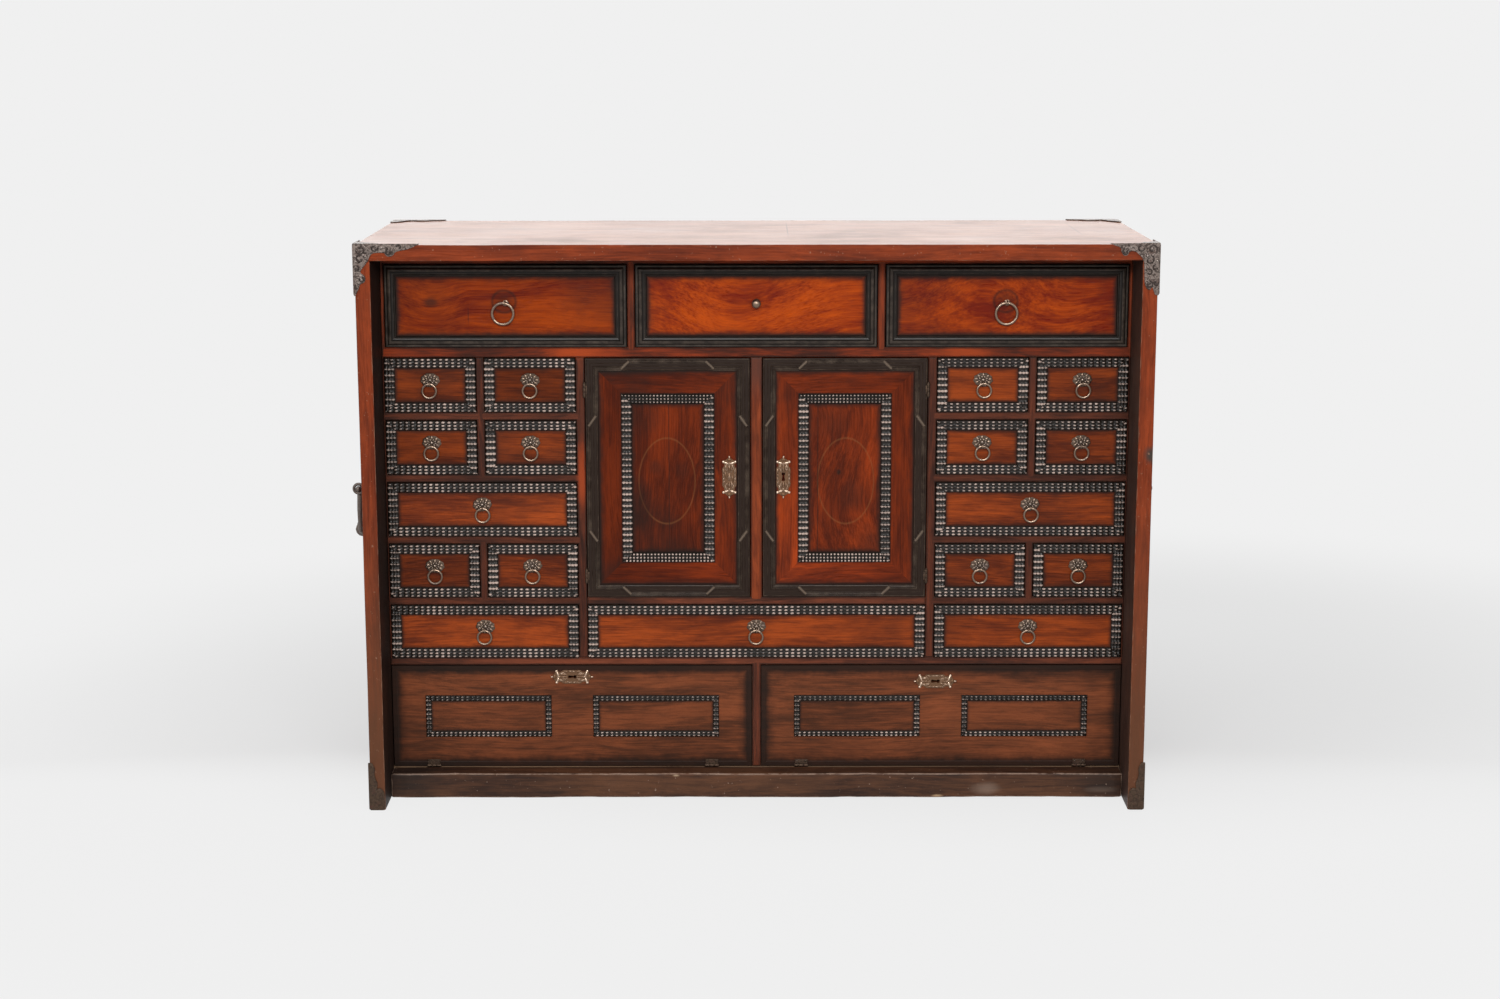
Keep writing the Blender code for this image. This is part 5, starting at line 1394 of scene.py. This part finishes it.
def door_mouldings(side, low, high):
    """The zigzag strip, pale with painted highlights and wear, most on its slants, and the ripple frame round
    the panel.
    """
    sizes = bpy.context.scene.cabinet_mouldings
    work = Work("border_black", "ripple_black")
    middle = (low + high) / 2
    # Painted highlights: the tubes are marked pale, their slants most of all
    for inset, radius in ZIGZAG_TUBES:
        loop = zigzag(high.x - low.x, high.z - low.z, inset)
        points = [(x + middle.x, FRONT - 0.0022, z + middle.z) for x, z in loop]
        work.mark(work.add(tube_mesh(points, [radius] * len(points), closed=True)), "wear_and_highlight", 0.55)
        for (x, z), (next_x, next_z) in zip(loop, loop[1:] + loop[:1]):
            if radius > 0.001 and x != next_x and z != next_z:
                ends = [(a + middle.x, FRONT - 0.0024, b + middle.z) for a, b in ((x, z), (next_x, next_z))]
                work.mark(work.add(tube_mesh(ends, [radius] * 2)), "wear_and_highlight", 1.1)
    inner_low = (low.x + PANEL_INSET, low.z + PANEL_INSET)
    inner_high = (high.x - PANEL_INSET, high.z - PANEL_INSET)
    pitches = (sizes.door_pitch * 0.60, sizes.door_pitch)
    seed = f"door {side}"
    ripple_frame(work, inner_low, inner_high, FRONT, 1, seed, rise=0.0040, pitches=pitches, highlight_shares=DOOR_HIGHLIGHTS)
    work.piece(f"door_{side}_mouldings", f"door_{side}", "ebonised_wood", angle=60.0)


def door_irons(side, sign, low, high, plate):
    """Small iron hinges at the door's outer edge, and the right door's lock case."""
    work = Work("foot_iron")
    x, y = PIVOTS[f"door_{side}"].xy
    for share in (0.09, 0.87):
        z = low.z + share * (high.z - low.z)
        barrels(work, (x, y, z - 0.0095), (0.0, 0.0, 1.0), 0.0064, 0.0061)
        for end in (-1, 1):
            work.ball((x, y, z + end * 0.0100), (0.0017, 0.0017, 0.0014), wear_and_highlight=0.5)
        left, right = sorted((x, x - sign * 0.0040))
        work.box((left, y - 0.0008, z - 0.0060), (right, FRONT + 0.0010, z + 0.0060), soft=0.0003)
    if side == "right":
        left, back = low.x + 0.007, FRONT + DOOR_THICKNESS
        foot, head = plate.z - LOCK_HALF_WIDTH, plate.z + LOCK_HALF_WIDTH
        lock_case(work, (left, back - SUNK, foot), (left + 0.040, back + LOCK_DEPTH, head))
    work.piece(f"door_{side}_irons", f"door_{side}", "forged_iron", angle=50.0)


class CABINET_OT_doors(Operator):
    """Makes the two doors with their borders, ripple frames, plates, lock and hinges"""

    bl_idname = "cabinet.doors"
    bl_label = "Doors"

    def execute(self, context):
        for side, sign in SIDES:
            low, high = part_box(f"door_{side}")
            inner = high.x if sign < 0 else low.x
            low.x, high.x = sorted((PIVOTS[f"door_{side}"].x - sign * SIDE_GAP, inner))
            plate = Vector((inner + sign * 0.0295, FRONT, (low.z + high.z) / 2 + 0.002))
            door_leaf(side, sign, low, high, plate)
            door_mouldings(side, low, high)
            keyhole_plate(f"door_{side}_plate", f"door_{side}", plate, UPRIGHT, side == "right")
            door_irons(side, sign, low, high, plate)
        return {"FINISHED"}


FLAP_FRAME_WIDTH = 0.1825
FLAP_FRAME_HEIGHT = 0.062
FLAP_FRAME_END = 0.0475
FLAP_FRAME_FOOT = 0.0445
# Strength of the painted highlights on each length of a flap's ripple frames: foot, right, head, left
FLAP_HIGHLIGHTS = (0.98, 0.80, 0.84, 0.80)
FLAP_TONES = {"left": 0.06, "right": 0.16}
# How far each keyhole lies from the middle of its flap's head
FLAP_PLATES = {"left": (0.0, 0.0, 0.0), "right": (-0.0085, 0.0, -0.0070)}


def flap_leaf(side, low, high, plate):
    """A flap's leaf, rebated round its edge and darker towards it, with a keyhole."""
    work = Work("flap_walnut", "ebonised")
    faces = work.box((low.x, FRONT, low.z), (high.x, FRONT + FLAP_THICKNESS, high.z))
    face = work.facing(faces, OUT)
    for vert in work.bm.verts:
        vert[work.layers["grime_and_shade"]] = 1.0 if flush(vert.co) else 0.15
    tiers = ((0.0062, 0.95), (0.0012, 0.85), (0.0060, 0.50), (0.0120, 0.12), (0.0100, 0.0))
    for number, (across, dirt_and_shade) in enumerate(tiers):
        up = -0.0005 if number == 1 else 0.0
        work.inset(face, across, up)
        work.mark([face], "grime_and_shade", dirt_and_shade)
    work.mark(work.bm.verts, "tone", FLAP_TONES[side])
    cut_keyhole(work, plate, LYING, FLAP_THICKNESS - 0.002)
    work.piece(f"flap_{side}_leaf", f"flap_{side}", "flap_walnut", [f"flap_{side}"], 30.0)


def flap_mouldings(side, low, high):
    """Two ripple frames with a field in each."""
    sizes = bpy.context.scene.cabinet_mouldings
    work = Work("flap_walnut", "ripple_black")
    for left in (low.x + FLAP_FRAME_END, high.x - FLAP_FRAME_END - FLAP_FRAME_WIDTH):
        foot = low.z + FLAP_FRAME_FOOT
        right, head = left + FLAP_FRAME_WIDTH, foot + FLAP_FRAME_HEIGHT
        rim = 0.006
        panel = work.box((left + rim, FRONT - 0.0006, foot + rim), (right - rim, FRONT + 0.002, head - rim))
        field = work.facing(panel, OUT)
        work.inset(field, 0.0020)
        work.field_grime_and_shade(field, ((0.0020, 0.55), (0.0040, 0.15), (0.0060, 0.0)))
        pitch = sizes.pitch * 0.82
        ripple_frame(
            work, (left, foot), (right, head), FRONT + 0.0005, 1, f"flap {side} {left:.2f}",
            sizes.flap_band, 0.0038, 2, (pitch, pitch), FLAP_HIGHLIGHTS,
        )
    work.piece(f"flap_{side}_mouldings", f"flap_{side}", "ebonised_wood", angle=60.0)


def flap_irons(side, low, high, plate):
    """Two hinges along the flap's foot and a lock case behind its plate."""
    work = Work("foot_iron")
    _, y, z = PIVOTS[f"flap_{side}"]
    for x in (low.x + 0.058, high.x - 0.058):
        barrels(work, (x - 0.0100, y, z), (1.0, 0.0, 0.0), 0.0068, 0.0064)
        work.box((x - 0.0092, y, z), (x + 0.0092, y + 0.0012, z + 0.0090), soft=0.0003)
        for aside in (-0.006, 0.006):
            work.ball((x + aside, y, z + 0.0062), (0.0013, 0.0008, 0.0013), wear_and_highlight=0.6, steps=(8, 6))
    left, right, back = plate.x - LOCK_HALF_WIDTH, plate.x + LOCK_HALF_WIDTH, FRONT + FLAP_THICKNESS
    lock_case(work, (left, back - SUNK, high.z - 0.047), (right, back + LOCK_DEPTH, high.z - 0.007))
    work.piece(f"flap_{side}_irons", f"flap_{side}", "forged_iron", angle=50.0)


class CABINET_OT_flaps(Operator):
    """Makes the two fall flaps with their ripple frames, plates, locks and hinges"""

    bl_idname = "cabinet.flaps"
    bl_label = "Fall flaps"

    def execute(self, context):
        for side, _ in SIDES:
            low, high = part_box(f"flap_{side}")
            low.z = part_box("lower_frame")[0].z + 0.0006
            middle = Vector(((low.x + high.x) / 2, FRONT + 0.0005, high.z - 0.0165))
            plate = middle + Vector(FLAP_PLATES[side])
            flap_leaf(side, low, high, plate)
            flap_mouldings(side, low, high)
            keyhole_plate(f"flap_{side}_plate", f"flap_{side}", plate, LYING, True)
            flap_irons(side, low, high, plate)
        return {"FINISHED"}


HANDLE_HALF = 0.052
HANDLE_DROP = 0.066
HANDLE_BAR = 0.0038
HANDLE_BEND = 0.0076
# The turned rose behind a handle's eye: radius and height from the tip to the foot
ROSE_PROFILE = (
    (0.0, 0.0032), (0.0052, 0.0030), (0.0068, 0.0020), (0.0100, 0.0022), (0.0135, 0.0014), (0.0142, 0.0),
    (0.0142, -0.0005), (0.0, -0.0005),
)


def bail_line(grip):
    """Half of a handle's line from its eye to the middle of the grip: along, up and radius."""
    bar, bend, foot = HANDLE_BAR, HANDLE_BEND, -HANDLE_DROP
    arm = HANDLE_HALF - 0.010
    line = [(HANDLE_HALF + 0.005, 0.0, bar), (arm + bend, 0.0, bar), (arm + bend * 0.3, -bend * 0.3, bar)]
    line += [(arm, -bend, bar), (arm + 0.002, foot * 0.5, bar * 1.1), (arm, foot + bend, bar)]
    line += [(arm - bend * 0.3, foot + bend * 0.3, bar), (arm - bend, foot, bar * 1.1)]
    line += [(0.026, foot, bar * 1.15), (0.0245, foot, grip * 0.85), (0.0225, foot, grip * 0.85)]
    line += [(0.021, foot, bar * 1.2)]
    return line + [(0.014, foot, grip * 0.82), (0.006, foot, grip * 0.98), (0.0, foot, grip)]


class CABINET_OT_handles(Operator):
    """Makes the carrying handles with their eyes and roses"""

    bl_idname = "cabinet.handles"
    bl_label = "Side handles"

    def execute(self, context):
        for side, sign in SIDES:
            node = f"handle_{side}"
            low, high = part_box(node)
            pivot = PIVOTS[node]
            outer = end_of("top_board", sign)
            line = bail_line((high.x - low.x) / 2 - SUNK)
            whole = line + [(-y, z, radius) for y, z, radius in reversed(line[:-1])]
            points = [(pivot.x, pivot.y + y, pivot.z + z) for y, z, _ in whole]
            bail = Work("forged_iron")
            bail.add(tube_mesh(points, [radius for _, _, radius in whole], sides=4))
            eyes = Work("forged_iron")
            for end in (-1, 1):
                tip = pivot + Vector((0.0, end * (HANDLE_HALF + 0.005), 0.0))
                bail.ball(tip, (0.0041, 0.0028, 0.0041))
                x, y, z = pivot + Vector((0.0, end * HANDLE_HALF, 0.0))
                eyes.hoop((x, y, z), (0.0, 1.0, 0.0), 0.0067, 0.0022, steps=28, wear_and_highlight=0.4)
                shank = ((outer - sign * 0.004, y, z), (x - sign * 0.0060, y, z))
                eyes.rod(*shank, 0.0034, tip=0.0026, steps=14)
                eyes.turned((outer, y, z), (sign, 0.0, 0.0), ROSE_PROFILE)
            bail.mark(bail.bm.verts, "wear_and_highlight", 0.55)
            bail.piece(f"{node}_bail", node, "forged_iron", [node], 50.0)
            eyes.piece(f"{node}_eyes", "case", "forged_iron", angle=50.0)
        return {"FINISHED"}


IRON_THICKNESS = 0.0016
# Outlines of the corner irons, from the corner outwards
TOP_ARMS = {
    "left": (
        (0.0003, -0.0003), (0.094, -0.0003), (0.087, -0.0032), (0.077, -0.0078), (0.066, -0.0098),
        (0.0585, -0.0118), (0.0560, -0.0165), (0.0505, -0.0185), (0.0455, -0.0168), (0.0440, -0.0130),
        (0.0340, -0.0125), (0.0270, -0.0138), (0.0235, -0.0180), (0.0212, -0.0240), (0.0165, -0.0300),
        (0.0112, -0.0365), (0.0100, -0.0405), (0.0145, -0.0425), (0.0178, -0.0480), (0.0150, -0.0540),
        (0.0098, -0.0555), (0.0078, -0.0615), (0.0045, -0.0675), (0.0030, -0.0719), (0.0003, -0.0719),
    ),
    "right": (
        (0.0003, -0.0003), (0.071, -0.0003), (0.063, -0.0034), (0.0545, -0.0062), (0.0535, -0.0130),
        (0.0500, -0.0178), (0.0450, -0.0172), (0.0425, -0.0120), (0.0380, -0.0108), (0.0330, -0.0125),
        (0.0285, -0.0170), (0.0240, -0.0215), (0.0222, -0.0270), (0.0214, -0.0420), (0.0208, -0.0560),
        (0.0175, -0.0635), (0.0125, -0.0650), (0.0108, -0.0600), (0.0085, -0.0640), (0.0062, -0.0719),
        (0.0003, -0.0719),
    ),
}
TOP_CHEEK = (
    (0.0003, -0.0005), (0.062, -0.0005), (0.062, -0.003), (0.052, -0.009), (0.044, -0.012), (0.040, -0.020),
    (0.033, -0.022), (0.028, -0.017), (0.022, -0.024), (0.018, -0.034), (0.012, -0.044), (0.014, -0.054),
    (0.008, -0.062), (0.004, -0.070), (0.0003, -0.070),
)
FOOT_CHEEK = (
    (0.0003, 0.0003), (0.058, 0.0003), (0.056, 0.006), (0.046, 0.012), (0.040, 0.022), (0.030, 0.024),
    (0.024, 0.034), (0.014, 0.040), (0.012, 0.054), (0.006, 0.062), (0.004, 0.0695), (0.0003, 0.0695),
)
BACK_PLATE = (
    (0.0, 0.0), (0.080, 0.0), (0.078, 0.005), (0.060, 0.009), (0.050, 0.017), (0.036, 0.016), (0.028, 0.010),
    (0.020, 0.022), (0.012, 0.036), (0.005, 0.044), (0.0, 0.044),
)
# Chased curls of the top irons: middle, radius, start and sweep in degrees
TOP_CURLS = {
    "left": (
        (0.0115, -0.0085, 0.0065, 200.0, 330.0), (0.0300, -0.0062, 0.0048, 0.0, -320.0),
        (0.0500, -0.0120, 0.0048, 100.0, 330.0), (0.0640, -0.0050, 0.0036, 180.0, -300.0),
        (0.0100, -0.0215, 0.0060, 60.0, 300.0), (0.0055, -0.0345, 0.0040, 90.0, -300.0),
        (0.0128, -0.0483, 0.0040, 160.0, 330.0), (0.0045, -0.0600, 0.0030, 90.0, 260.0),
    ),
    "right": (
        (0.0110, -0.0085, 0.0065, 200.0, -330.0), (0.0270, -0.0068, 0.0050, 180.0, 320.0),
        (0.0480, -0.0120, 0.0046, 80.0, -330.0), (0.0145, -0.0230, 0.0062, 120.0, 330.0),
        (0.0060, -0.0340, 0.0046, 90.0, -300.0), (0.0150, -0.0400, 0.0052, 20.0, 320.0),
        (0.0140, -0.0570, 0.0050, 90.0, 340.0), (0.0045, -0.0560, 0.0034, 90.0, -300.0),
    ),
}
# Nails of the top and the bottom irons, from the corner
TOP_NAILS = ((0.0115, -0.0085), (0.040, -0.0060), (0.0042, -0.0250), (0.0175, -0.0180))
FOOT_NAILS = ((0.011, 0.008), (0.006, 0.026), (0.016, 0.022), (0.0055, 0.052))
BACK_NAILS = ((0.010, 0.010), (0.045, 0.008), (0.008, 0.030))


def iron_leaf(work, loop, matrix, thickness=IRON_THICKNESS):
    """One leaf of a corner iron from its outline."""
    work.add(plate_mesh([cut_corners(loop)], thickness, matrix, rim=0.0003))


def curl(work, x, y, radius, start, sweep, matrix):
    """A chased curl: a thin line that winds inwards, bright with wear on a wider dark one that is a painted
    shadow.
    """
    points = []
    for step in range(15):
        share = step / 14
        angle = math.radians(start + sweep * share)
        reach = radius * (1.0 - 0.62 * share)
        points.append((x + reach * math.cos(angle), y + reach * math.sin(angle), 0.0))
    bright = [0.0006] * 13 + [0.0010, 0.0012]
    # The wider, flatter tube is darkened as a painted shadow under the chased line
    for radii, flatness, name in (([0.0014] * 15, 0.35, "grime_and_shade"), (bright, 0.57, "wear_and_highlight")):
        flat = matrix @ Matrix.Diagonal((1.0, 1.0, flatness, 1.0))
        work.mark(work.add(tube_mesh(points, radii, flat, sides=1)), name, 1.0)


def corner_iron(level, side, sign):
    """Starts an iron with its cheek on the side board: the work, its corner, its mirror and its width."""
    low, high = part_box(f"corner_iron_{level}_{side}")
    corner = Vector((low.x if sign < 0 else high.x, low.y, high.z if level == "top" else low.z))
    work = Work("chased_iron" if level == "top" else "foot_iron")
    beside = Matrix.Translation(corner - Vector((sign * IRON_THICKNESS / 2, 0.0, 0.0)))
    cheek = TOP_CHEEK if level == "top" else FOOT_CHEEK
    iron_leaf(work, cheek, beside @ Matrix.Rotation(math.pi / 2, 4, "Z") @ FACE)
    return work, corner, Matrix.Diagonal((-sign, 1.0, 1.0, 1.0)), high.x - low.x


def nails(work, corner, sign, places, size, wear_and_highlight):
    """Round nail heads at places from the corner."""
    for x, z in places:
        place = (corner.x - sign * x, corner.y + 0.0007, corner.z + z)
        work.ball(place, (size, 0.0007, size), steps=(10, 6), wear_and_highlight=wear_and_highlight)


def top_iron(side, sign):
    """A chased iron with two arms on the front, a cheek and a lid on the top board."""
    work, corner, mirror, reach = corner_iron("top", side, sign)
    front = IRON_THICKNESS * 0.75
    iron_leaf(work, TOP_ARMS[side], Matrix.Translation(corner - OUT * front) @ mirror @ FACE, front)
    lid = (
        (0.0004, 0.0004), (reach * 0.40, 0.0004), (reach * 0.36, 0.006), (reach * 0.30, 0.009),
        (0.024, 0.010), (0.020, 0.017), (0.012, 0.019), (0.007, 0.026), (0.0004, 0.027),
    )
    iron_leaf(work, lid, Matrix.Translation(corner - Vector((0.0, 0.0, IRON_THICKNESS / 2))) @ mirror)
    nails(work, corner, sign, TOP_NAILS, 0.0019, 0.9)
    drawn = Matrix.Translation(corner - OUT * 0.0007) @ mirror @ FACE
    for x, z, radius, start, sweep in TOP_CURLS[side]:
        curl(work, x, z, radius, start, sweep, drawn)
    work.piece(f"corner_top_{side}", "case", "forged_iron", [f"corner_iron_top_{side}"], 40.0)


def bottom_iron(side, sign):
    """A plain iron shoe with one arm up the front and a cheek."""
    work, corner, mirror, wide = corner_iron("bottom", side, sign)
    boot = (
        (0.0003, 0.0), (wide, 0.0), (wide, 0.024), (wide - 0.003, 0.031), (wide - 0.008, 0.033),
        (0.0120, 0.030), (0.0130, 0.040), (0.0100, 0.046), (0.0085, 0.054), (0.0100, 0.060),
        (0.0060, 0.070), (0.0003, 0.070),
    )
    iron_leaf(work, boot, Matrix.Translation(corner - OUT * (IRON_THICKNESS / 2)) @ mirror @ FACE)
    nails(work, corner, sign, FOOT_NAILS, 0.0018, 0.8)
    work.piece(f"corner_bottom_{side}", "case", "forged_iron", [f"corner_iron_bottom_{side}"], 40.0)


def back_plate(side, sign):
    """A small nailed plate on a back corner of the top board."""
    work = Work("forged_iron")
    edge = end_of("top_board", sign)
    place = Matrix.Translation((edge, CASE_BACK, CASE_HEAD + 0.0010))
    iron_leaf(work, BACK_PLATE, place @ Matrix.Diagonal((-sign, -1.0, 1.0, 1.0)))
    for x, y in BACK_NAILS:
        nail = (edge - sign * x, CASE_BACK - y, CASE_HEAD + 0.0014)
        work.ball(nail, (0.0018, 0.0018, 0.0006), steps=(10, 6), wear_and_highlight=0.8)
    work.piece(f"back_plate_{side}", "case", "forged_iron", angle=40.0)


class CABINET_OT_corner_irons(Operator):
    """Makes the forged corner irons and the small plates at the back of the top board"""

    bl_idname = "cabinet.corner_irons"
    bl_label = "Corner irons"

    def execute(self, context):
        for side, sign in SIDES:
            top_iron(side, sign)
            bottom_iron(side, sign)
            back_plate(side, sign)
        return {"FINISHED"}


FLOOR_HALF = 30.0
WALL_HEIGHT = 16.0
# The floor's shadow: an oval's middle, its half sizes and how dark it is
SHADE_PLACE = (0.30, 0.75)
SHADE_HALF = (1.45, 0.95)
SHADE = 0.875


class CABINET_OT_stage(Operator):
    """Makes the floor, the lamps, the world and the camera"""

    bl_idname = "cabinet.stage"
    bl_label = "Stage"

    def floor(self, stage):
        """A floor that ends in a wall, pale to the camera but for the shadow round the cabinet."""
        bm = bmesh.new()
        bmesh.ops.create_grid(bm, x_segments=2, y_segments=2, size=FLOOR_HALF)
        far = [edge for edge in bm.edges if all(vert.co.y > FLOOR_HALF - 1.0 for vert in edge.verts)]
        raised = bmesh.ops.extrude_edge_only(bm, edges=far)["geom"]
        wall = [item for item in raised if isinstance(item, bmesh.types.BMVert)]
        bmesh.ops.translate(bm, verts=wall, vec=(0.0, 0.0, WALL_HEIGHT))
        mesh = bpy.data.meshes.new("floor")
        bm.to_mesh(mesh)
        bm.free()
        floor = bpy.data.objects.new("floor", mesh)
        bpy.context.scene.collection.objects.link(floor)
        made = Finish("floor_paper")
        made.done((stage.floor,) * 3, 0.9, gloss=0.0)
        away = made.length(made.place((0.62, 1.0, 1.0)))
        (x, y), (wide, deep) = SHADE_PLACE, SHADE_HALF
        oval = made.length(made.place((1.0 / wide, 1.0 / deep, 1.0), (-x / wide, -y / deep, 0.0)))
        ahead = made.step(made.coordinate("Y"), -0.10, 0.45, 0.93, 0.0)
        share = ahead.above(made.step(away, 0.35, 1.15, 0.64, 1.0)) * made.seen()
        dim, pale = (
            made.node("ShaderNodeEmission", None, {"Color": (stage.floor * light,) * 3, "Strength": 1.0})
            for light in (SHADE, 1.0)
        )
        shade = made.step(oval, 0.45, 1.25)
        glow = made.node("ShaderNodeMixShader", None, {0: shade, 1: dim, 2: pale})
        made.spread(share, Wire(made, made.shader.outputs[0]), glow, "Material Output")
        mesh.materials.append(made.material)

    def lamp(self, name, place, aim, size, watts):
        """A rectangular lamp that shines at the cabinet's axis, at the height of its aim."""
        data = bpy.data.lights.new(name, "AREA")
        data.shape = "RECTANGLE"
        data.size, data.size_y = size
        data.energy = watts
        made = bpy.data.objects.new(name, data)
        made.location = place
        made.rotation_euler = (Vector((0.0, 0.0, aim)) - Vector(place)).to_track_quat("-Z", "Y").to_euler()
        bpy.context.scene.collection.objects.link(made)
        return made

    def world(self, stage):
        """A dim world that looks as pale as the floor."""
        bpy.context.scene.world = bpy.data.worlds.new("studio")
        made = Finish("studio", bpy.context.scene.world)
        made.put(made.shader.inputs["Color"], (stage.fill,) * 3)
        sky = made.node("ShaderNodeBackground", None, {"Color": (stage.floor,) * 3})
        made.spread(made.seen(), Wire(made, made.shader.outputs[0]), sky, "World Output")

    def camera(self, stage):
        """The camera in front of the cabinet and a little above it."""
        data = bpy.data.cameras.new("camera")
        data.sensor_width = 36.0
        data.lens = stage.lens
        made = bpy.data.objects.new("camera", data)
        made.location = stage.place
        made.rotation_euler = (math.pi / 2 - stage.pitch, math.radians(0.052), math.radians(0.021))
        bpy.context.scene.collection.objects.link(made)
        bpy.context.scene.camera = made

    def execute(self, context):
        stage = context.scene.cabinet_stage
        self.floor(stage)
        self.lamp("front", (0.0, -3.9, 2.05), 0.4, (2.8, 0.8), stage.front_lamp)
        self.lamp("left", (-2.6, -2.4, 1.8), 0.4, (0.8, 0.8), stage.side_lamps)
        self.lamp("right", (2.6, -2.4, 1.8), 0.4, (0.8, 0.8), stage.side_lamps)
        self.lamp("overhead", (0.0, -0.4, 3.4), 0.4, (3.0, 1.6), stage.head_lamp)
        behind = self.lamp("behind", (0.0, 4.5, 2.3), 0.8, (6.0, 2.2), stage.back_lamp)
        behind.visible_camera = False
        self.world(stage)
        self.camera(stage)
        context.scene.view_settings.view_transform = "Standard"
        return {"FINISHED"}


OPERATORS = (
    CABINET_OT_finishes,
    CABINET_OT_case,
    CABINET_OT_frames,
    CABINET_OT_top_drawers,
    CABINET_OT_small_drawers,
    CABINET_OT_pulls,
    CABINET_OT_doors,
    CABINET_OT_flaps,
    CABINET_OT_handles,
    CABINET_OT_corner_irons,
    CABINET_OT_stage,
)


class CABINET_PT_panel(Panel):
    """Lists the cabinet's pieces in the sidebar."""

    bl_idname = "CABINET_PT_panel"
    bl_label = "Walnut table cabinet"
    bl_space_type = "VIEW_3D"
    bl_region_type = "UI"
    bl_category = "Cabinet"

    def draw(self, context):
        layout = self.layout
        for operator in OPERATORS:
            layout.operator(operator.bl_idname)
        for name in SETTINGS:
            group = getattr(context.scene, name)
            box = layout.box()
            for key in group.__annotations__:
                box.prop(group, key)


SETTINGS = {
    "cabinet_woods": CabinetWoods,
    "cabinet_mouldings": CabinetMouldings,
    "cabinet_metals": CabinetMetals,
    "cabinet_stage": CabinetStage,
}
CLASSES = (*SETTINGS.values(), *OPERATORS, CABINET_PT_panel)


def register():
    for made in CLASSES:
        bpy.utils.register_class(made)
    for name, group in SETTINGS.items():
        setattr(bpy.types.Scene, name, PointerProperty(type=group))


def unregister():
    for name in SETTINGS:
        delattr(bpy.types.Scene, name)
    for made in reversed(CLASSES):
        bpy.utils.unregister_class(made)


def main():
    register()
    for operator in OPERATORS:
        group, name = operator.bl_idname.split(".")
        getattr(getattr(bpy.ops, group), name)()


if __name__ == "__main__":
    main()
